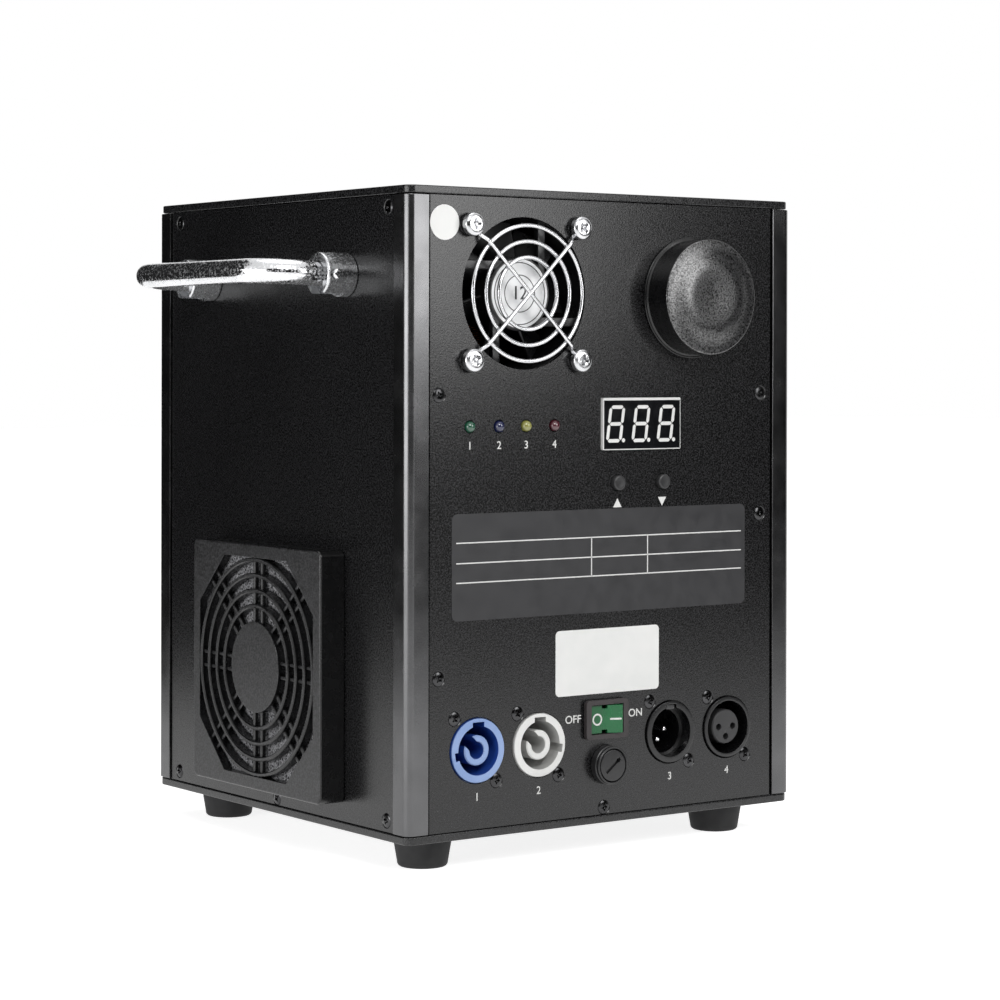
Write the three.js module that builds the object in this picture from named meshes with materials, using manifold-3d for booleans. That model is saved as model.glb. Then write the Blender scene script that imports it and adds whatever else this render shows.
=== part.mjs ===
// Cold spark machine: a square black case on rubber feet that throws a fountain of sparks
// from a nozzle in its top plate. Millimetres, +Z up. The origin is the centre of the bounding
// box on the floor, and the control panel faces -Y.

import * as THREE from 'three';
import { mergeVertices } from 'three/addons/utils/BufferGeometryUtils.js';
import Module from 'manifold-3d';

const wasm = await Module();
wasm.setup();

// Fits and cuts shared by every piece
const fit = 0.3; // gap between a piece and what it seats on
const overrun = 1; // how far a cut runs past the face that it opens
const wireSides = 4;
const smallSides = 8;
const roundSides = 16;
const largeSides = 24;

// Case
const caseWidth = 185;
const caseDepth = 185;
const caseHeight = 240;
const plateThickness = 3;
const plateInset = 0.4;
const panelThickness = 1.5;
const panelRecess = 0.8;
const postRadius = 6;
const postFace = 10;
const postFlange = 8;
const postWall = 2;
const postScrewRadius = 1.6;

// Feet
const footHeight = 12;
const footTopRadius = 11.3;
const footBottomRadius = 9.5;
const footChamfer = 1.5;
const footInset = 21.5;
const footScrewRadius = 2.4;
const footScrewHeadRadius = 5;
const footWeb = 4;

// Folding handles
const handleSpread = 100;
const handleHeightShare = 0.867;
const handleReach = 35.3;
const handleRodRadius = 4.65;
const handleBendRadius = 15;
const handleBendSteps = 6;
const handleTilt = THREE.MathUtils.degToRad(2.5);
const seatRadius = 8.25;
const seatLength = 12.7;
const seatPinSetback = 4.1;
const seatEar = 4;
const seatClearance = 0.5;
const pinRadius = 2;

// Filter over the intake fan
const filterSizeShare = 0.395; // of the case's height
const filterDepth = 11;
const filterCornerRadius = 3;
const filterWall = 2;
const filterFaceThickness = 3.4;
const filterWindowMargin = 5.2;
const filterChamferShare = 0.2275; // of the window
const filterHubShare = 0.417; // of the window
const filterRingWidth = 1.6;
const filterRingCount = 4;
const filterSpokeWidth = 1.5;
const filterSpokeSpacing = 5.4;
const filterSpokeSetback = 1.7;
const filterFoamThickness = 3.2;

// Fans: outer size as a share of the case's height, wall beside the bore, hub as a share of the
// size, depth along the axis and distance of the screw holes from the edge
const exhaustFanSizeShare = 0.25;
const exhaustFanWall = 1.5;
const exhaustFanHubShare = 0.46667;
const exhaustFanDepth = 25;
const exhaustFanHoleInset = 5;
const exhaustFanGap = 5; // between the fan and the post's flange
const intakeFanSizeShare = 0.38333;
const intakeFanWall = 2;
const intakeFanHubShare = 0.3913;
const intakeFanDepth = 25;
const intakeFanHoleInset = 4.75;
const fanHoleRadius = 2.15;
const fanCornerRadius = 4;
const fanHubRecess = 1.2;
const fanHubPlate = 3;
const fanStrutWidth = 3.5;
const fanBossRadius = 4;
const fanBossLength = 9;
const fanShaftRadius = 1.5;
const fanCupWall = 1.5;
const fanBladeThickness = 1.4;
const fanBladeClearance = 1.2;
const fanBladeCount = 7;
const fanChordShare = 0.9;
const fanRootAngle = THREE.MathUtils.degToRad(38);
const fanTipAngle = THREE.MathUtils.degToRad(58);

// Wire finger guard
const guardWireRadius = 0.8;
const guardRimGap = 3.2;
const guardRingPitchShare = 0.2344; // of the outer ring's radius
const guardRingCount = 3;
const guardRingLift = 1.4;
const guardEyeRadius = 3;

// Filler cap and the neck under it
const capRadius = 23.5;
const capFaceRadius = 22.3;
const capLength = 15;
const capEdge = 1.6;
const capCrown = 0.7;
const capFloor = 4.5;
const neckRadius = 18;
const neckWall = 2;
const neckReach = 9;

// Display, lamps and buttons on the control board
const displayWidth = 38.2;
const displayHeight = 20;
const displayProud = 2;
const lampRadius = 2.2;
const lampProud = 2.2;
const buttonRadius = 2.85;
const buttonProud = 2;
const buttonFlange = 1;
const buttonTravelGap = 0.9;
const switchSize = 6;
const switchHeight = 3.5;
const boardSetback = 10;
const boardThickness = 1.6;
const boardMargin = 6;
const standoffRadius = 2.5;

// Rocker switch
const rockerBezelWidth = 21.8;
const rockerBezelHeight = 15.1;
const rockerBezelProud = 2;
const rockerBezelCorner = 2.2;
const rockerBodyDepth = 18;
const rockerBodyMargin = 0.7;
const rockerRadius = 8.9;
const rockerHeight = 10.6;
const rockerWingWall = 1;
const rockerValley = 1;
const rockerPivotDepth = 3;
const rockerPinRadius = 1.2;
const rockerTilt = THREE.MathUtils.degToRad(12);

// Fuse holder
const rockerFuseGap = 1.9;
const fuseBezelRadius = 8;
const fuseBezelProud = 5;
const fuseBodyRadius = 6.2;
const fuseBodyDepth = 32;
const fuseCapRadius = 6.5;
const fuseCapDepth = 3;
const fuseSkirtRadius = 4.6;
const fuseSkirtDepth = 9;
const fuseLinkRadius = 2.6;
const fuseLinkLength = 20;
const fuseSlotWidth = 1.2;
const fuseSlotDepth = 1.4;
const fuseSlotShare = 0.75;
const fuseSlotTurn = THREE.MathUtils.degToRad(38);

// Sockets
const socketRadiusShare = 0.0654; // of the case's width
const socketProud = 1;
const socketDepth = 24;
const socketFloor = 3;
const socketFlangeMargin = 0.6;
const socketScrewMargin = 3.5;
const socketFlangeThickness = 2;
const socketScrewShares = [0.785, 0.992]; // of the barrel's radius
const socketScrewRadius = 1.6;
const powerWall = 3;
const powerKeyWidth = 5.2;
const powerKeyDepth = 1.4;
const powerCoreRadius = 5.6;
const powerCoreBore = 3.2;
const powerCoreGap = 4;
const powerSideKeyTurn = THREE.MathUtils.degToRad(100);
const powerCoreGapTurn = THREE.MathUtils.degToRad(45);
const plugWall = 3.6;
const plugGrooveWalls = [2.7, 1.4];
const plugGrooveDepth = 3;
const contactCircleRadius = 3.75;
const contactRadius = 1.2;
const contactSetback = 6.5;
const jackWall = 2.1;
const jackGroove = 2.1;
const jackInsertSetback = 0.5;
const jackHoleDepth = 10;

// Heating chamber, spark tube and nozzle
const drumRadius = 35;
const drumLength = 40;
const drumWall = 3;
const drumHeightShare = 0.408;
const tubeRadius = 13;
const tubeWall = 2;
const coilThickness = 4.2;
const coilLength = 50;
const nozzleRadius = 25;
const nozzleFlange = 5;
const nozzleFlangeThickness = 2;
const nozzleMouthRadius = 19;
const nozzleCollar = 6;
const tubeEndGap = 5;
const standWidth = 30;
const standDepth = 56;
const standWall = 3;
const standSaddle = 20;

// Granule feed
const feedSide = 10;
const feedRise = 22;
const feedBarrelRadius = 12;
const feedBarrelWall = 2.5;
const feedSpoutRadius = 9;
const feedSpoutLength = 8;
const hopperWall = 2;
const hopperSideGap = 9;
const hopperBack = 30;
const hopperShoulder = 42;
const hopperFrontGap = 6;
const augerCoreRadius = 3;
const augerFlightThickness = 1.6;
const augerTurns = 4;
const augerClearance = 0.9;
const feedMotorRadius = 12.5;
const feedMotorLength = 20;

// Spark impeller and its motor
const impellerHubRadius = 9;
const impellerClearance = 3;
const impellerBladeThickness = 2;
const impellerBladeCount = 6;
const impellerShaftRadius = 3;
const impellerShaftReach = 12;
const impellerMotorRadius = 18;
const impellerMotorGap = 4;

// Power supply
const supplyWidth = 42;
const supplySocketGap = 7.7;
const supplySideGap = 4;
const supplyTopGap = 10;
const supplyBoard = 3;
const supplyWall = 2;
// Blocks on the board: from and to across the width, from and to along the depth, and height
const supplyBlockShares = [
  [0.1, 0.75, 0.05, 0.3, 0.8],
  [0.15, 0.6, 0.36, 0.55, 0.55],
  [0.1, 0.7, 0.62, 0.72, 0.9],
  [0.2, 0.6, 0.8, 0.95, 0.45],
];

// Where things sit on the control panel, as shares of the case's width and height
const placeShares = {
  filler: [0.2211, 0.8367],
  lamps: [-0.2422, 0.6321],
  display: [0.0865, 0.6333],
  buttons: [0.0854, 0.5396],
  rocker: [-0.0022, 0.1652],
};
const exhaustFanHeightShare = 0.8383;
// Gaps between the outer sockets' flanges and the posts' flanges, the inner sockets' places as
// shares of the outer ones', and all four heights
const socketPostGaps = [0.9, 2];
const innerSocketShares = [0.5337, 0.5167];
const socketHeightShares = [0.1346, 0.1338, 0.1342, 0.1333];
const lampPitchShare = 0.0703;
const buttonPitchShare = 0.119;
const filterShares = [0.0119, 0.24];

const exhaustFanSize = exhaustFanSizeShare * caseHeight;
const exhaustFanBore = exhaustFanSize - 2 * exhaustFanWall;
const exhaustFanHub = exhaustFanHubShare * exhaustFanSize;
const exhaustFanHolePitch = exhaustFanSize - 2 * exhaustFanHoleInset;
const intakeFanSize = intakeFanSizeShare * caseHeight;
const intakeFanBore = intakeFanSize - 2 * intakeFanWall;
const intakeFanHub = intakeFanHubShare * intakeFanSize;
const intakeFanHolePitch = intakeFanSize - 2 * intakeFanHoleInset;
const guardOuterRadius = exhaustFanBore / 2 - guardRimGap;
const guardRingPitch = guardRingPitchShare * guardOuterRadius;
const filterSize = filterSizeShare * caseHeight;
const filterWindow = filterSize - 2 * filterWindowMargin;
const filterWindowChamfer = filterChamferShare * filterWindow;
const filterHubRadius = (filterHubShare * filterWindow) / 2;
const filterRings = filterWindow / 2 - filterHubRadius - filterRingWidth / 2;
const filterRingPitch = filterRings / filterRingCount;
const socketRadius = socketRadiusShare * caseWidth;
const socketScrewX = socketScrewShares[0] * socketRadius;
const socketScrewY = socketScrewShares[1] * socketRadius;
const socketFlangeWidth = 2 * (socketRadius + socketFlangeMargin);
const socketFlangeHeight = 2 * (socketScrewY + socketScrewMargin);
const powerBoreRadius = socketRadius - powerWall;
const plugBoreRadius = socketRadius - plugWall;
const plugGrooveInner = socketRadius - plugGrooveWalls[0];
const plugGrooveOuter = socketRadius - plugGrooveWalls[1];
const jackBoreRadius = socketRadius - jackWall;
const jackInsertRadius = jackBoreRadius - jackGroove;

const halfWidth = caseWidth / 2;
const halfDepth = caseDepth / 2;
const floorTop = footHeight + plateThickness;
const roof = footHeight + caseHeight - plateThickness;
const panelBack = -panelThickness - fit;
const frontWidth = caseWidth - 2 * (postFace + fit);
const sideWidth = caseDepth - 2 * (postFace + fit);
const panelBottom = floorTop + fit;
const panelTop = roof - fit;
const frontFace = halfDepth - panelRecess;
const sideFace = halfWidth - panelRecess;
const flangeEdge = halfWidth - postFace - postFlange;
const supplyDepth = 2 * (frontFace - socketDepth - supplySocketGap);

const finish = {
  blackPanel: new THREE.MeshStandardMaterial({ color: '#2b2c2e', roughness: 0.6, metalness: 0.2 }),
  blackPlate: new THREE.MeshStandardMaterial({ color: '#2a2a2c', roughness: 0.5, metalness: 0.3 }),
  anodised: new THREE.MeshStandardMaterial({ color: '#3c3d40', roughness: 0.4, metalness: 0.8 }),
  rubber: new THREE.MeshStandardMaterial({ color: '#232325', roughness: 0.85, metalness: 0 }),
  chrome: new THREE.MeshStandardMaterial({ color: '#d9dbdd', roughness: 0.12, metalness: 1 }),
  steel: new THREE.MeshStandardMaterial({ color: '#a9abad', roughness: 0.35, metalness: 1 }),
  blackPlastic: new THREE.MeshStandardMaterial({ color: '#252628', roughness: 0.55, metalness: 0 }),
  capPlastic: new THREE.MeshStandardMaterial({ color: '#1b1b1d', roughness: 0.5, metalness: 0 }),
  foam: new THREE.MeshStandardMaterial({ color: '#5b5c5e', roughness: 1, metalness: 0 }),
  face: new THREE.MeshStandardMaterial({ color: '#17181a', roughness: 0.2, metalness: 0 }),
  board: new THREE.MeshStandardMaterial({ color: '#1f5a3a', roughness: 0.6, metalness: 0 }),
  blue: new THREE.MeshStandardMaterial({ color: '#3d6fd0', roughness: 0.4, metalness: 0 }),
  white: new THREE.MeshStandardMaterial({ color: '#ecebe8', roughness: 0.4, metalness: 0 }),
  green: new THREE.MeshStandardMaterial({ color: '#1d7a45', roughness: 0.3, metalness: 0 }),
  copper: new THREE.MeshStandardMaterial({ color: '#b0683c', roughness: 0.4, metalness: 1 }),
  brass: new THREE.MeshStandardMaterial({ color: '#b8a36a', roughness: 0.3, metalness: 1 }),
};
const lampFinish = [
  new THREE.MeshStandardMaterial({ color: '#3b8a66', roughness: 0.2, metalness: 0 }),
  new THREE.MeshStandardMaterial({ color: '#2c4fb0', roughness: 0.2, metalness: 0 }),
  new THREE.MeshStandardMaterial({ color: '#cfc65e', roughness: 0.2, metalness: 0 }),
  new THREE.MeshStandardMaterial({ color: '#9c2a3c', roughness: 0.2, metalness: 0 }),
];

// A closed solid from a three.js geometry. Triangles that shrink to a line on an axis are left out.
function toSolid(geometry) {
  const bare = new THREE.BufferGeometry();
  bare.setAttribute('position', geometry.getAttribute('position'));
  bare.setIndex(geometry.getIndex());
  const merged = mergeVertices(bare);
  const corners = merged.getIndex().array;
  const triVerts = [];
  for (let i = 0; i < corners.length; i += 3) {
    const [a, b, c] = corners.slice(i, i + 3);
    if (a !== b && b !== c && c !== a) triVerts.push(a, b, c);
  }
  const vertProperties = new Float32Array(merged.getAttribute('position').array);
  const mesh = new wasm.Mesh({ numProp: 3, vertProperties, triVerts: new Uint32Array(triVerts) });
  return new wasm.Manifold(mesh);
}

function toGeometry(solid) {
  const mesh = solid.getMesh();
  const geometry = new THREE.BufferGeometry();
  geometry.setAttribute('position', new THREE.BufferAttribute(mesh.vertProperties, 3));
  geometry.setIndex(new THREE.BufferAttribute(mesh.triVerts, 1));
  geometry.computeVertexNormals();
  return geometry;
}

function join(...solids) {
  return solids.reduce((whole, piece) => whole.add(piece));
}

function cut(body, ...tools) {
  return tools.reduce((rest, tool) => rest.subtract(tool), body);
}

function block(x0, x1, y0, y1, z0, z1) {
  const geometry = new THREE.BoxGeometry(x1 - x0, y1 - y0, z1 - z0);
  return toSolid(geometry.translate((x0 + x1) / 2, (y0 + y1) / 2, (z0 + z1) / 2));
}

// A block centred on x and y
function slab(width, height, z0, z1, x = 0, y = 0) {
  return block(x - width / 2, x + width / 2, y - height / 2, y + height / 2, z0, z1);
}

// A cylinder along x, y or z. The last two numbers of its place are the other two axes in order.
function rod(axis, radius, from, to, u = 0, v = 0, sides = roundSides) {
  const geometry = new THREE.CylinderGeometry(radius, radius, to - from, sides);
  const middle = (from + to) / 2;
  if (axis === 'x') return toSolid(geometry.rotateZ(Math.PI / 2).translate(middle, u, v));
  if (axis === 'y') return toSolid(geometry.translate(u, middle, v));
  return toSolid(geometry.rotateX(Math.PI / 2).translate(u, v, middle));
}

// A shape turned round z from [radius, height] pairs that run up its outside
function turned(profile, sides = roundSides) {
  const points = profile.map(([radius, height]) => new THREE.Vector2(radius, height));
  return toSolid(new THREE.LatheGeometry(points, sides).rotateX(Math.PI / 2));
}

function extruded(shape, z0, z1, curveSegments = roundSides / 4) {
  const options = { depth: z1 - z0, bevelEnabled: false, curveSegments };
  return toSolid(new THREE.ExtrudeGeometry(shape, options).translate(0, 0, z0));
}

function polygon(points) {
  return new THREE.Shape(points.map(([x, y]) => new THREE.Vector2(x, y)));
}

function roundedOutline(width, height, radius) {
  const x = width / 2 - radius;
  const y = height / 2 - radius;
  const shape = new THREE.Shape();
  shape.absarc(x, y, radius, 0, Math.PI / 2);
  shape.absarc(-x, y, radius, Math.PI / 2, Math.PI);
  shape.absarc(-x, -y, radius, Math.PI, 1.5 * Math.PI);
  shape.absarc(x, -y, radius, 1.5 * Math.PI, 2 * Math.PI);
  return shape;
}

// Copies of a solid turned round z by equal steps
function ringOf(count, makeGeometry) {
  const copies = [];
  for (let i = 0; i < count; i += 1) {
    copies.push(toSolid(makeGeometry().rotateZ((i * 2 * Math.PI) / count)));
  }
  return join(...copies);
}

function addPiece(parent, name, solid, material, x = 0, y = 0, z = 0) {
  const mesh = new THREE.Mesh(toGeometry(solid), material);
  mesh.name = name;
  mesh.position.set(x, y, z);
  parent.add(mesh);
  return mesh;
}

// The frame of one face of the case: x to the right, y up from the floor and z outwards,
// with z = 0 on the panel's outer face.
function faceFrame(turn, distance) {
  const side = new THREE.Group();
  side.rotation.z = turn;
  const face = new THREE.Group();
  face.rotation.x = Math.PI / 2;
  face.position.y = -distance;
  side.add(face);
  machine.add(side);
  return face;
}

function panelPlace([acrossShare, upShare]) {
  return [acrossShare * caseWidth, footHeight + upShare * caseHeight];
}

const machine = new THREE.Group();
machine.position.y = (capLength - panelRecess) / 2;
const controlFace = faceFrame(0, frontFace);
const frontFrame = faceFrame(Math.PI, frontFace);
const leftFace = faceFrame(-Math.PI / 2, sideFace);
const rightFace = faceFrame(Math.PI / 2, sideFace);

const fanPlace = [exhaustFanSize / 2 + exhaustFanGap - flangeEdge,
  footHeight + exhaustFanHeightShare * caseHeight];
const fillerPlace = panelPlace(placeShares.filler);
const displayPlace = panelPlace(placeShares.display);
const rockerPlace = panelPlace(placeShares.rocker);
const fusePlace = [rockerPlace[0],
  rockerPlace[1] - rockerBezelHeight / 2 - rockerFuseGap - fuseBezelRadius];
const lampPlaces = [0, 1, 2, 3].map((i) => {
  const [x, y] = panelPlace(placeShares.lamps);
  return [x + (i - 1.5) * lampPitchShare * caseWidth, y];
});
const buttonPlaces = [-0.5, 0.5].map((i) => {
  const [x, y] = panelPlace(placeShares.buttons);
  return [x + i * buttonPitchShare * caseWidth, y];
});
const [powerSocketX, dataSocketX] = socketPostGaps.map((gap) => (
  flangeEdge - socketFlangeWidth / 2 - gap
));
const socketColumns = [
  -powerSocketX,
  -innerSocketShares[0] * powerSocketX,
  innerSocketShares[1] * dataSocketX,
  dataSocketX,
];
const socketPlaces = socketColumns.map((x, i) => (
  [x, footHeight + socketHeightShares[i] * caseHeight]
));
const filterX = filterShares[0] * caseDepth;
const filterY = footHeight + filterShares[1] * caseHeight;
const handleHeight = footHeight + handleHeightShare * caseHeight;

// Case

function makePlates() {
  const width = caseWidth - 2 * plateInset;
  const depth = caseDepth - 2 * plateInset;
  const outline = roundedOutline(width, depth, postRadius);
  const footX = halfWidth - footInset;
  const footY = halfDepth - footInset;
  let base = extruded(outline, footHeight, floorTop);
  for (const [x, y] of [[-footX, -footY], [footX, -footY], [footX, footY], [-footX, footY]]) {
    base = cut(base, rod('z', footScrewRadius, footHeight - overrun, floorTop + overrun, x, y));
  }
  addPiece(machine, 'base_plate', base, finish.blackPlate);

  const mouth = rod('z', nozzleRadius + fit, roof - overrun, roof + plateThickness + overrun, 0, 0,
    largeSides);
  const top = cut(extruded(outline, roof, roof + plateThickness), mouth);
  addPiece(machine, 'top_plate', top, finish.blackPlate);
}

// An extrusion with a rounded outer corner, a flange behind each panel edge and a screw channel.
// Its own origin is the outer corner, with the case towards +x and +y.
function postSection() {
  const rebate = panelRecess + panelThickness + fit;
  const flangeEnd = postFace + postFlange;
  const flangeBack = rebate + postWall;
  const section = new THREE.Shape();
  section.absarc(postRadius, postRadius, postRadius, Math.PI, 1.5 * Math.PI);
  section.lineTo(postFace, 0);
  section.lineTo(postFace, rebate);
  section.lineTo(flangeEnd, rebate);
  section.lineTo(flangeEnd, flangeBack);
  section.lineTo(postFace, flangeBack);
  section.lineTo(postFace, postFace);
  section.lineTo(flangeBack, postFace);
  section.lineTo(flangeBack, flangeEnd);
  section.lineTo(rebate, flangeEnd);
  section.lineTo(rebate, postFace);
  section.lineTo(0, postFace);
  const channel = new THREE.Path();
  channel.absarc(postRadius, postRadius, postScrewRadius, 0, 2 * Math.PI, true);
  section.holes.push(channel);
  return section;
}

function makePosts() {
  const corners = [
    ['control_left_post', -1, -1],
    ['control_right_post', 1, -1],
    ['front_left_post', 1, 1],
    ['front_right_post', -1, 1],
  ];
  corners.forEach(([name, signX, signY], i) => {
    const solid = extruded(postSection(), 0, roof - floorTop - 2 * fit);
    const x = signX * halfWidth;
    const y = signY * halfDepth;
    const post = addPiece(machine, name, solid, finish.anodised, x, y, floorTop + fit);
    post.rotation.z = (i * Math.PI) / 2;
  });
}

function panelSheet(width, ...holes) {
  const sheet = block(-width / 2, width / 2, panelBottom, panelTop, -panelThickness, 0);
  return cut(sheet, ...holes);
}

function roundHole(radius, [x, y], sides = smallSides) {
  return rod('z', radius, -panelThickness - overrun, overrun, x, y, sides);
}

function squareHole(width, height, [x, y]) {
  return slab(width, height, -panelThickness - overrun, overrun, x, y);
}

function makePanels() {
  const bodyWidth = rockerBezelWidth - 2 * rockerBodyMargin;
  const bodyHeight = rockerBezelHeight - 2 * rockerBodyMargin;
  const control = panelSheet(
    frontWidth,
    roundHole(exhaustFanBore / 2, fanPlace, largeSides),
    roundHole(neckRadius + fit, fillerPlace, roundSides),
    squareHole(displayWidth + 2 * fit, displayHeight + 2 * fit, displayPlace),
    squareHole(bodyWidth + 2 * fit, bodyHeight + 2 * fit, rockerPlace),
    roundHole(fuseBodyRadius + fit, fusePlace, roundSides),
    ...lampPlaces.map((place) => roundHole(lampRadius + fit, place)),
    ...buttonPlaces.map((place) => roundHole(buttonRadius + fit, place)),
    ...socketPlaces.map((place) => roundHole(socketRadius + fit, place, roundSides)),
  );
  addPiece(controlFace, 'control_panel', control, finish.blackPanel);
  addPiece(frontFrame, 'front_panel', panelSheet(frontWidth), finish.blackPanel);
  const intake = roundHole(intakeFanBore / 2, [filterX, filterY], largeSides);
  addPiece(leftFace, 'left_side_panel', panelSheet(sideWidth, intake), finish.blackPanel);
  addPiece(rightFace, 'right_side_panel', panelSheet(sideWidth), finish.blackPanel);
}

function makeFeet() {
  const top = footHeight - fit;
  const foot = turned([
    [footScrewHeadRadius, 0],
    [footBottomRadius - footChamfer, 0],
    [footBottomRadius, footChamfer],
    [footTopRadius, top],
    [footScrewRadius, top],
    [footScrewRadius, top - footWeb],
    [footScrewHeadRadius, top - footWeb],
    [footScrewHeadRadius, 0],
  ]);
  const x = halfWidth - footInset;
  const y = halfDepth - footInset;
  addPiece(machine, 'control_left_foot', foot, finish.rubber, -x, -y);
  addPiece(machine, 'control_right_foot', foot, finish.rubber, x, -y);
  addPiece(machine, 'front_left_foot', foot, finish.rubber, x, y);
  addPiece(machine, 'front_right_foot', foot, finish.rubber, -x, y);
}

// Folding handles: a bail whose flattened ends turn on pins in two slotted seats. It stands out
// level against the slots' roofs and folds down along the panel.

const pinDepth = seatLength - seatPinSetback + fit;
const tongueHalf = seatEar - fit / 2;
const tongueLength = seatRadius + seatClearance;

// A bar of round section bent into a U. Each ring of its vertices is set square to the path at
// one station: the two ends, and steps of both bends.
function bentBar(half, reach) {
  const stations = [[-half, 0, 0]];
  for (const side of [-1, 1]) {
    for (let i = 0; i <= handleBendSteps; i += 1) {
      const turn = ((side + 1) / 2 + i / handleBendSteps) * (Math.PI / 2);
      const x = side * (half - handleBendRadius) - handleBendRadius * Math.cos(turn);
      const z = reach - handleBendRadius + handleBendRadius * Math.sin(turn);
      stations.push([x, z, turn]);
    }
  }
  stations.push([half, 0, Math.PI]);
  const last = stations.length - 1;
  const bar = new THREE.CylinderGeometry(handleRodRadius, handleRodRadius, 1, smallSides, last);
  const places = bar.getAttribute('position');
  for (let i = 0; i < places.count; i += 1) {
    const [x, z, turn] = stations[Math.round((0.5 - places.getY(i)) * last)];
    const across = -places.getX(i);
    const y = places.getZ(i);
    places.setXYZ(i, x - across * Math.cos(turn), y, z + across * Math.sin(turn));
  }
  return toSolid(bar);
}

// The handle's pin axis is x, through the origin, and z points away from the case.
function bailSolid() {
  const reach = handleReach - pinDepth;
  const half = handleSpread / 2;
  let bail = bentBar(half, reach);
  for (const x of [-half, half]) {
    const knuckle = new THREE.SphereGeometry(handleRodRadius, smallSides, 6).translate(x, 0, 0);
    bail = bail.add(toSolid(knuckle));
  }
  for (const x of [-half, half]) {
    for (const side of [-1, 1]) {
      const flat = x + side * (tongueHalf + handleRodRadius);
      const trim = slab(2 * handleRodRadius, 4 * handleRodRadius, -2 * handleRodRadius,
        tongueLength, flat, 0);
      bail = bail.subtract(trim);
    }
    bail = bail.subtract(rod('x', pinRadius + fit, x - seatRadius, x + seatRadius, 0, 0));
  }
  return bail;
}

// A short post with a slot that is open in front and below, on the panel's outer face
function seatSolid() {
  const roofHalf = handleRodRadius + seatClearance;
  const slotHalf = seatEar + fit / 2;
  const slotBack = pinDepth - roofHalf;
  const slotFront = seatLength + fit + overrun;
  const body = rod('z', seatRadius, fit, seatLength + fit);
  const arch = rod('z', roofHalf, slotBack, slotFront);
  const throat = block(-slotHalf, slotHalf, -2 * seatRadius, roofHalf + overrun, slotBack, slotFront);
  const shaft = block(-slotHalf, slotHalf, -seatRadius - overrun, 0, slotBack, slotFront);
  const pinHole = rod('x', pinRadius + fit, -seatRadius - overrun, seatRadius + overrun, 0, pinDepth);
  return cut(body, arch.intersect(throat), shaft, pinHole);
}

function makeHandle(face, side) {
  const frame = new THREE.Group();
  frame.position.set(0, handleHeight, pinDepth);
  frame.rotation.x = -handleTilt;
  face.add(frame);
  addPiece(frame, `${side}_handle_bail`, bailSolid(), finish.chrome);
  ['a', 'b'].forEach((letter, i) => {
    const x = (i - 0.5) * handleSpread;
    const pin = rod('x', pinRadius, -seatRadius + fit, seatRadius - fit);
    addPiece(face, `${side}_handle_seat_${letter}`, seatSolid(), finish.chrome, x, handleHeight, 0);
    addPiece(face, `${side}_handle_pin_${letter}`, pin, finish.chrome, x, handleHeight, pinDepth);
  });
}

// Fans. Each is modelled round z with its stator hub just behind z = 0 and its rotor below.

function fanFrame(size, bore, hub, depth, holePitch) {
  const hubTop = -fanHubRecess;
  const hubBack = hubTop - fanHubPlate;
  const outline = roundedOutline(size, size, fanCornerRadius);
  let frame = cut(extruded(outline, -depth, 0), rod('z', bore / 2, -depth - overrun, overrun, 0, 0,
    largeSides));
  const reach = bore / 2 + overrun;
  const strut = () => {
    const geometry = new THREE.BoxGeometry(fanStrutWidth, reach, fanHubPlate);
    return geometry.translate(hub / 2 - fanStrutWidth, reach / 2, (hubTop + hubBack) / 2);
  };
  frame = join(frame, ringOf(4, strut), rod('z', hub / 2, hubBack, hubTop));
  frame = frame.add(rod('z', fanBossRadius, hubBack - fanBossLength, hubTop));
  frame = frame.subtract(rod('z', fanShaftRadius + fit, hubBack - fanBossLength - overrun, hubBack));
  for (const x of [-holePitch / 2, holePitch / 2]) {
    for (const y of [-holePitch / 2, holePitch / 2]) {
      frame = frame.subtract(rod('z', fanHoleRadius, -depth - overrun, overrun, x, y, smallSides));
    }
  }
  return frame;
}

// A blade along x that is flatter at its tip than at its root
function bladeGeometry(rootRadius, tipRadius, chord) {
  const span = tipRadius - rootRadius;
  const geometry = new THREE.BoxGeometry(span, fanBladeThickness, chord, 2, 1, 1);
  const places = geometry.getAttribute('position');
  for (let i = 0; i < places.count; i += 1) {
    const along = places.getX(i) / span + 0.5;
    const angle = THREE.MathUtils.lerp(fanRootAngle, fanTipAngle, along);
    const y = places.getY(i);
    const z = places.getZ(i);
    places.setY(i, y * Math.cos(angle) - z * Math.sin(angle));
    places.setZ(i, y * Math.sin(angle) + z * Math.cos(angle));
  }
  return geometry.translate((rootRadius + tipRadius) / 2, 0, 0);
}

function fanRotor(bore, hub, depth) {
  const top = -fanHubRecess - fanHubPlate - fit;
  const bottom = -depth + fanCupWall;
  const wall = fanCupWall;
  const radius = hub / 2 - fit;
  const cup = cut(rod('z', radius, bottom, top), rod('z', radius - wall, bottom + wall, top + overrun));
  const shaft = rod('z', fanShaftRadius, bottom, top - fit, 0, 0);
  const tip = bore / 2 - fanBladeClearance;
  const chord = fanChordShare * (top - bottom);
  const middle = (top + bottom) / 2;
  const blades = ringOf(fanBladeCount, () => bladeGeometry(radius - wall / 2, tip + overrun, chord));
  const swept = cut(rod('z', tip, bottom - middle, top - middle, 0, 0, largeSides),
    rod('z', radius - wall / 2, bottom - middle - overrun, top - middle + overrun));
  const trimmed = blades.intersect(swept);
  return join(cup, shaft, trimmed.translate([0, 0, middle]));
}

function makeExhaustFan() {
  const [x, y] = fanPlace;
  const frame = fanFrame(exhaustFanSize, exhaustFanBore, exhaustFanHub, exhaustFanDepth,
    exhaustFanHolePitch);
  const rotor = fanRotor(exhaustFanBore, exhaustFanHub, exhaustFanDepth);
  addPiece(controlFace, 'exhaust_fan_frame', frame, finish.blackPlastic, x, y, panelBack);
  addPiece(controlFace, 'exhaust_fan_rotor', rotor, finish.blackPlastic, x, y, panelBack);
}

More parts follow.
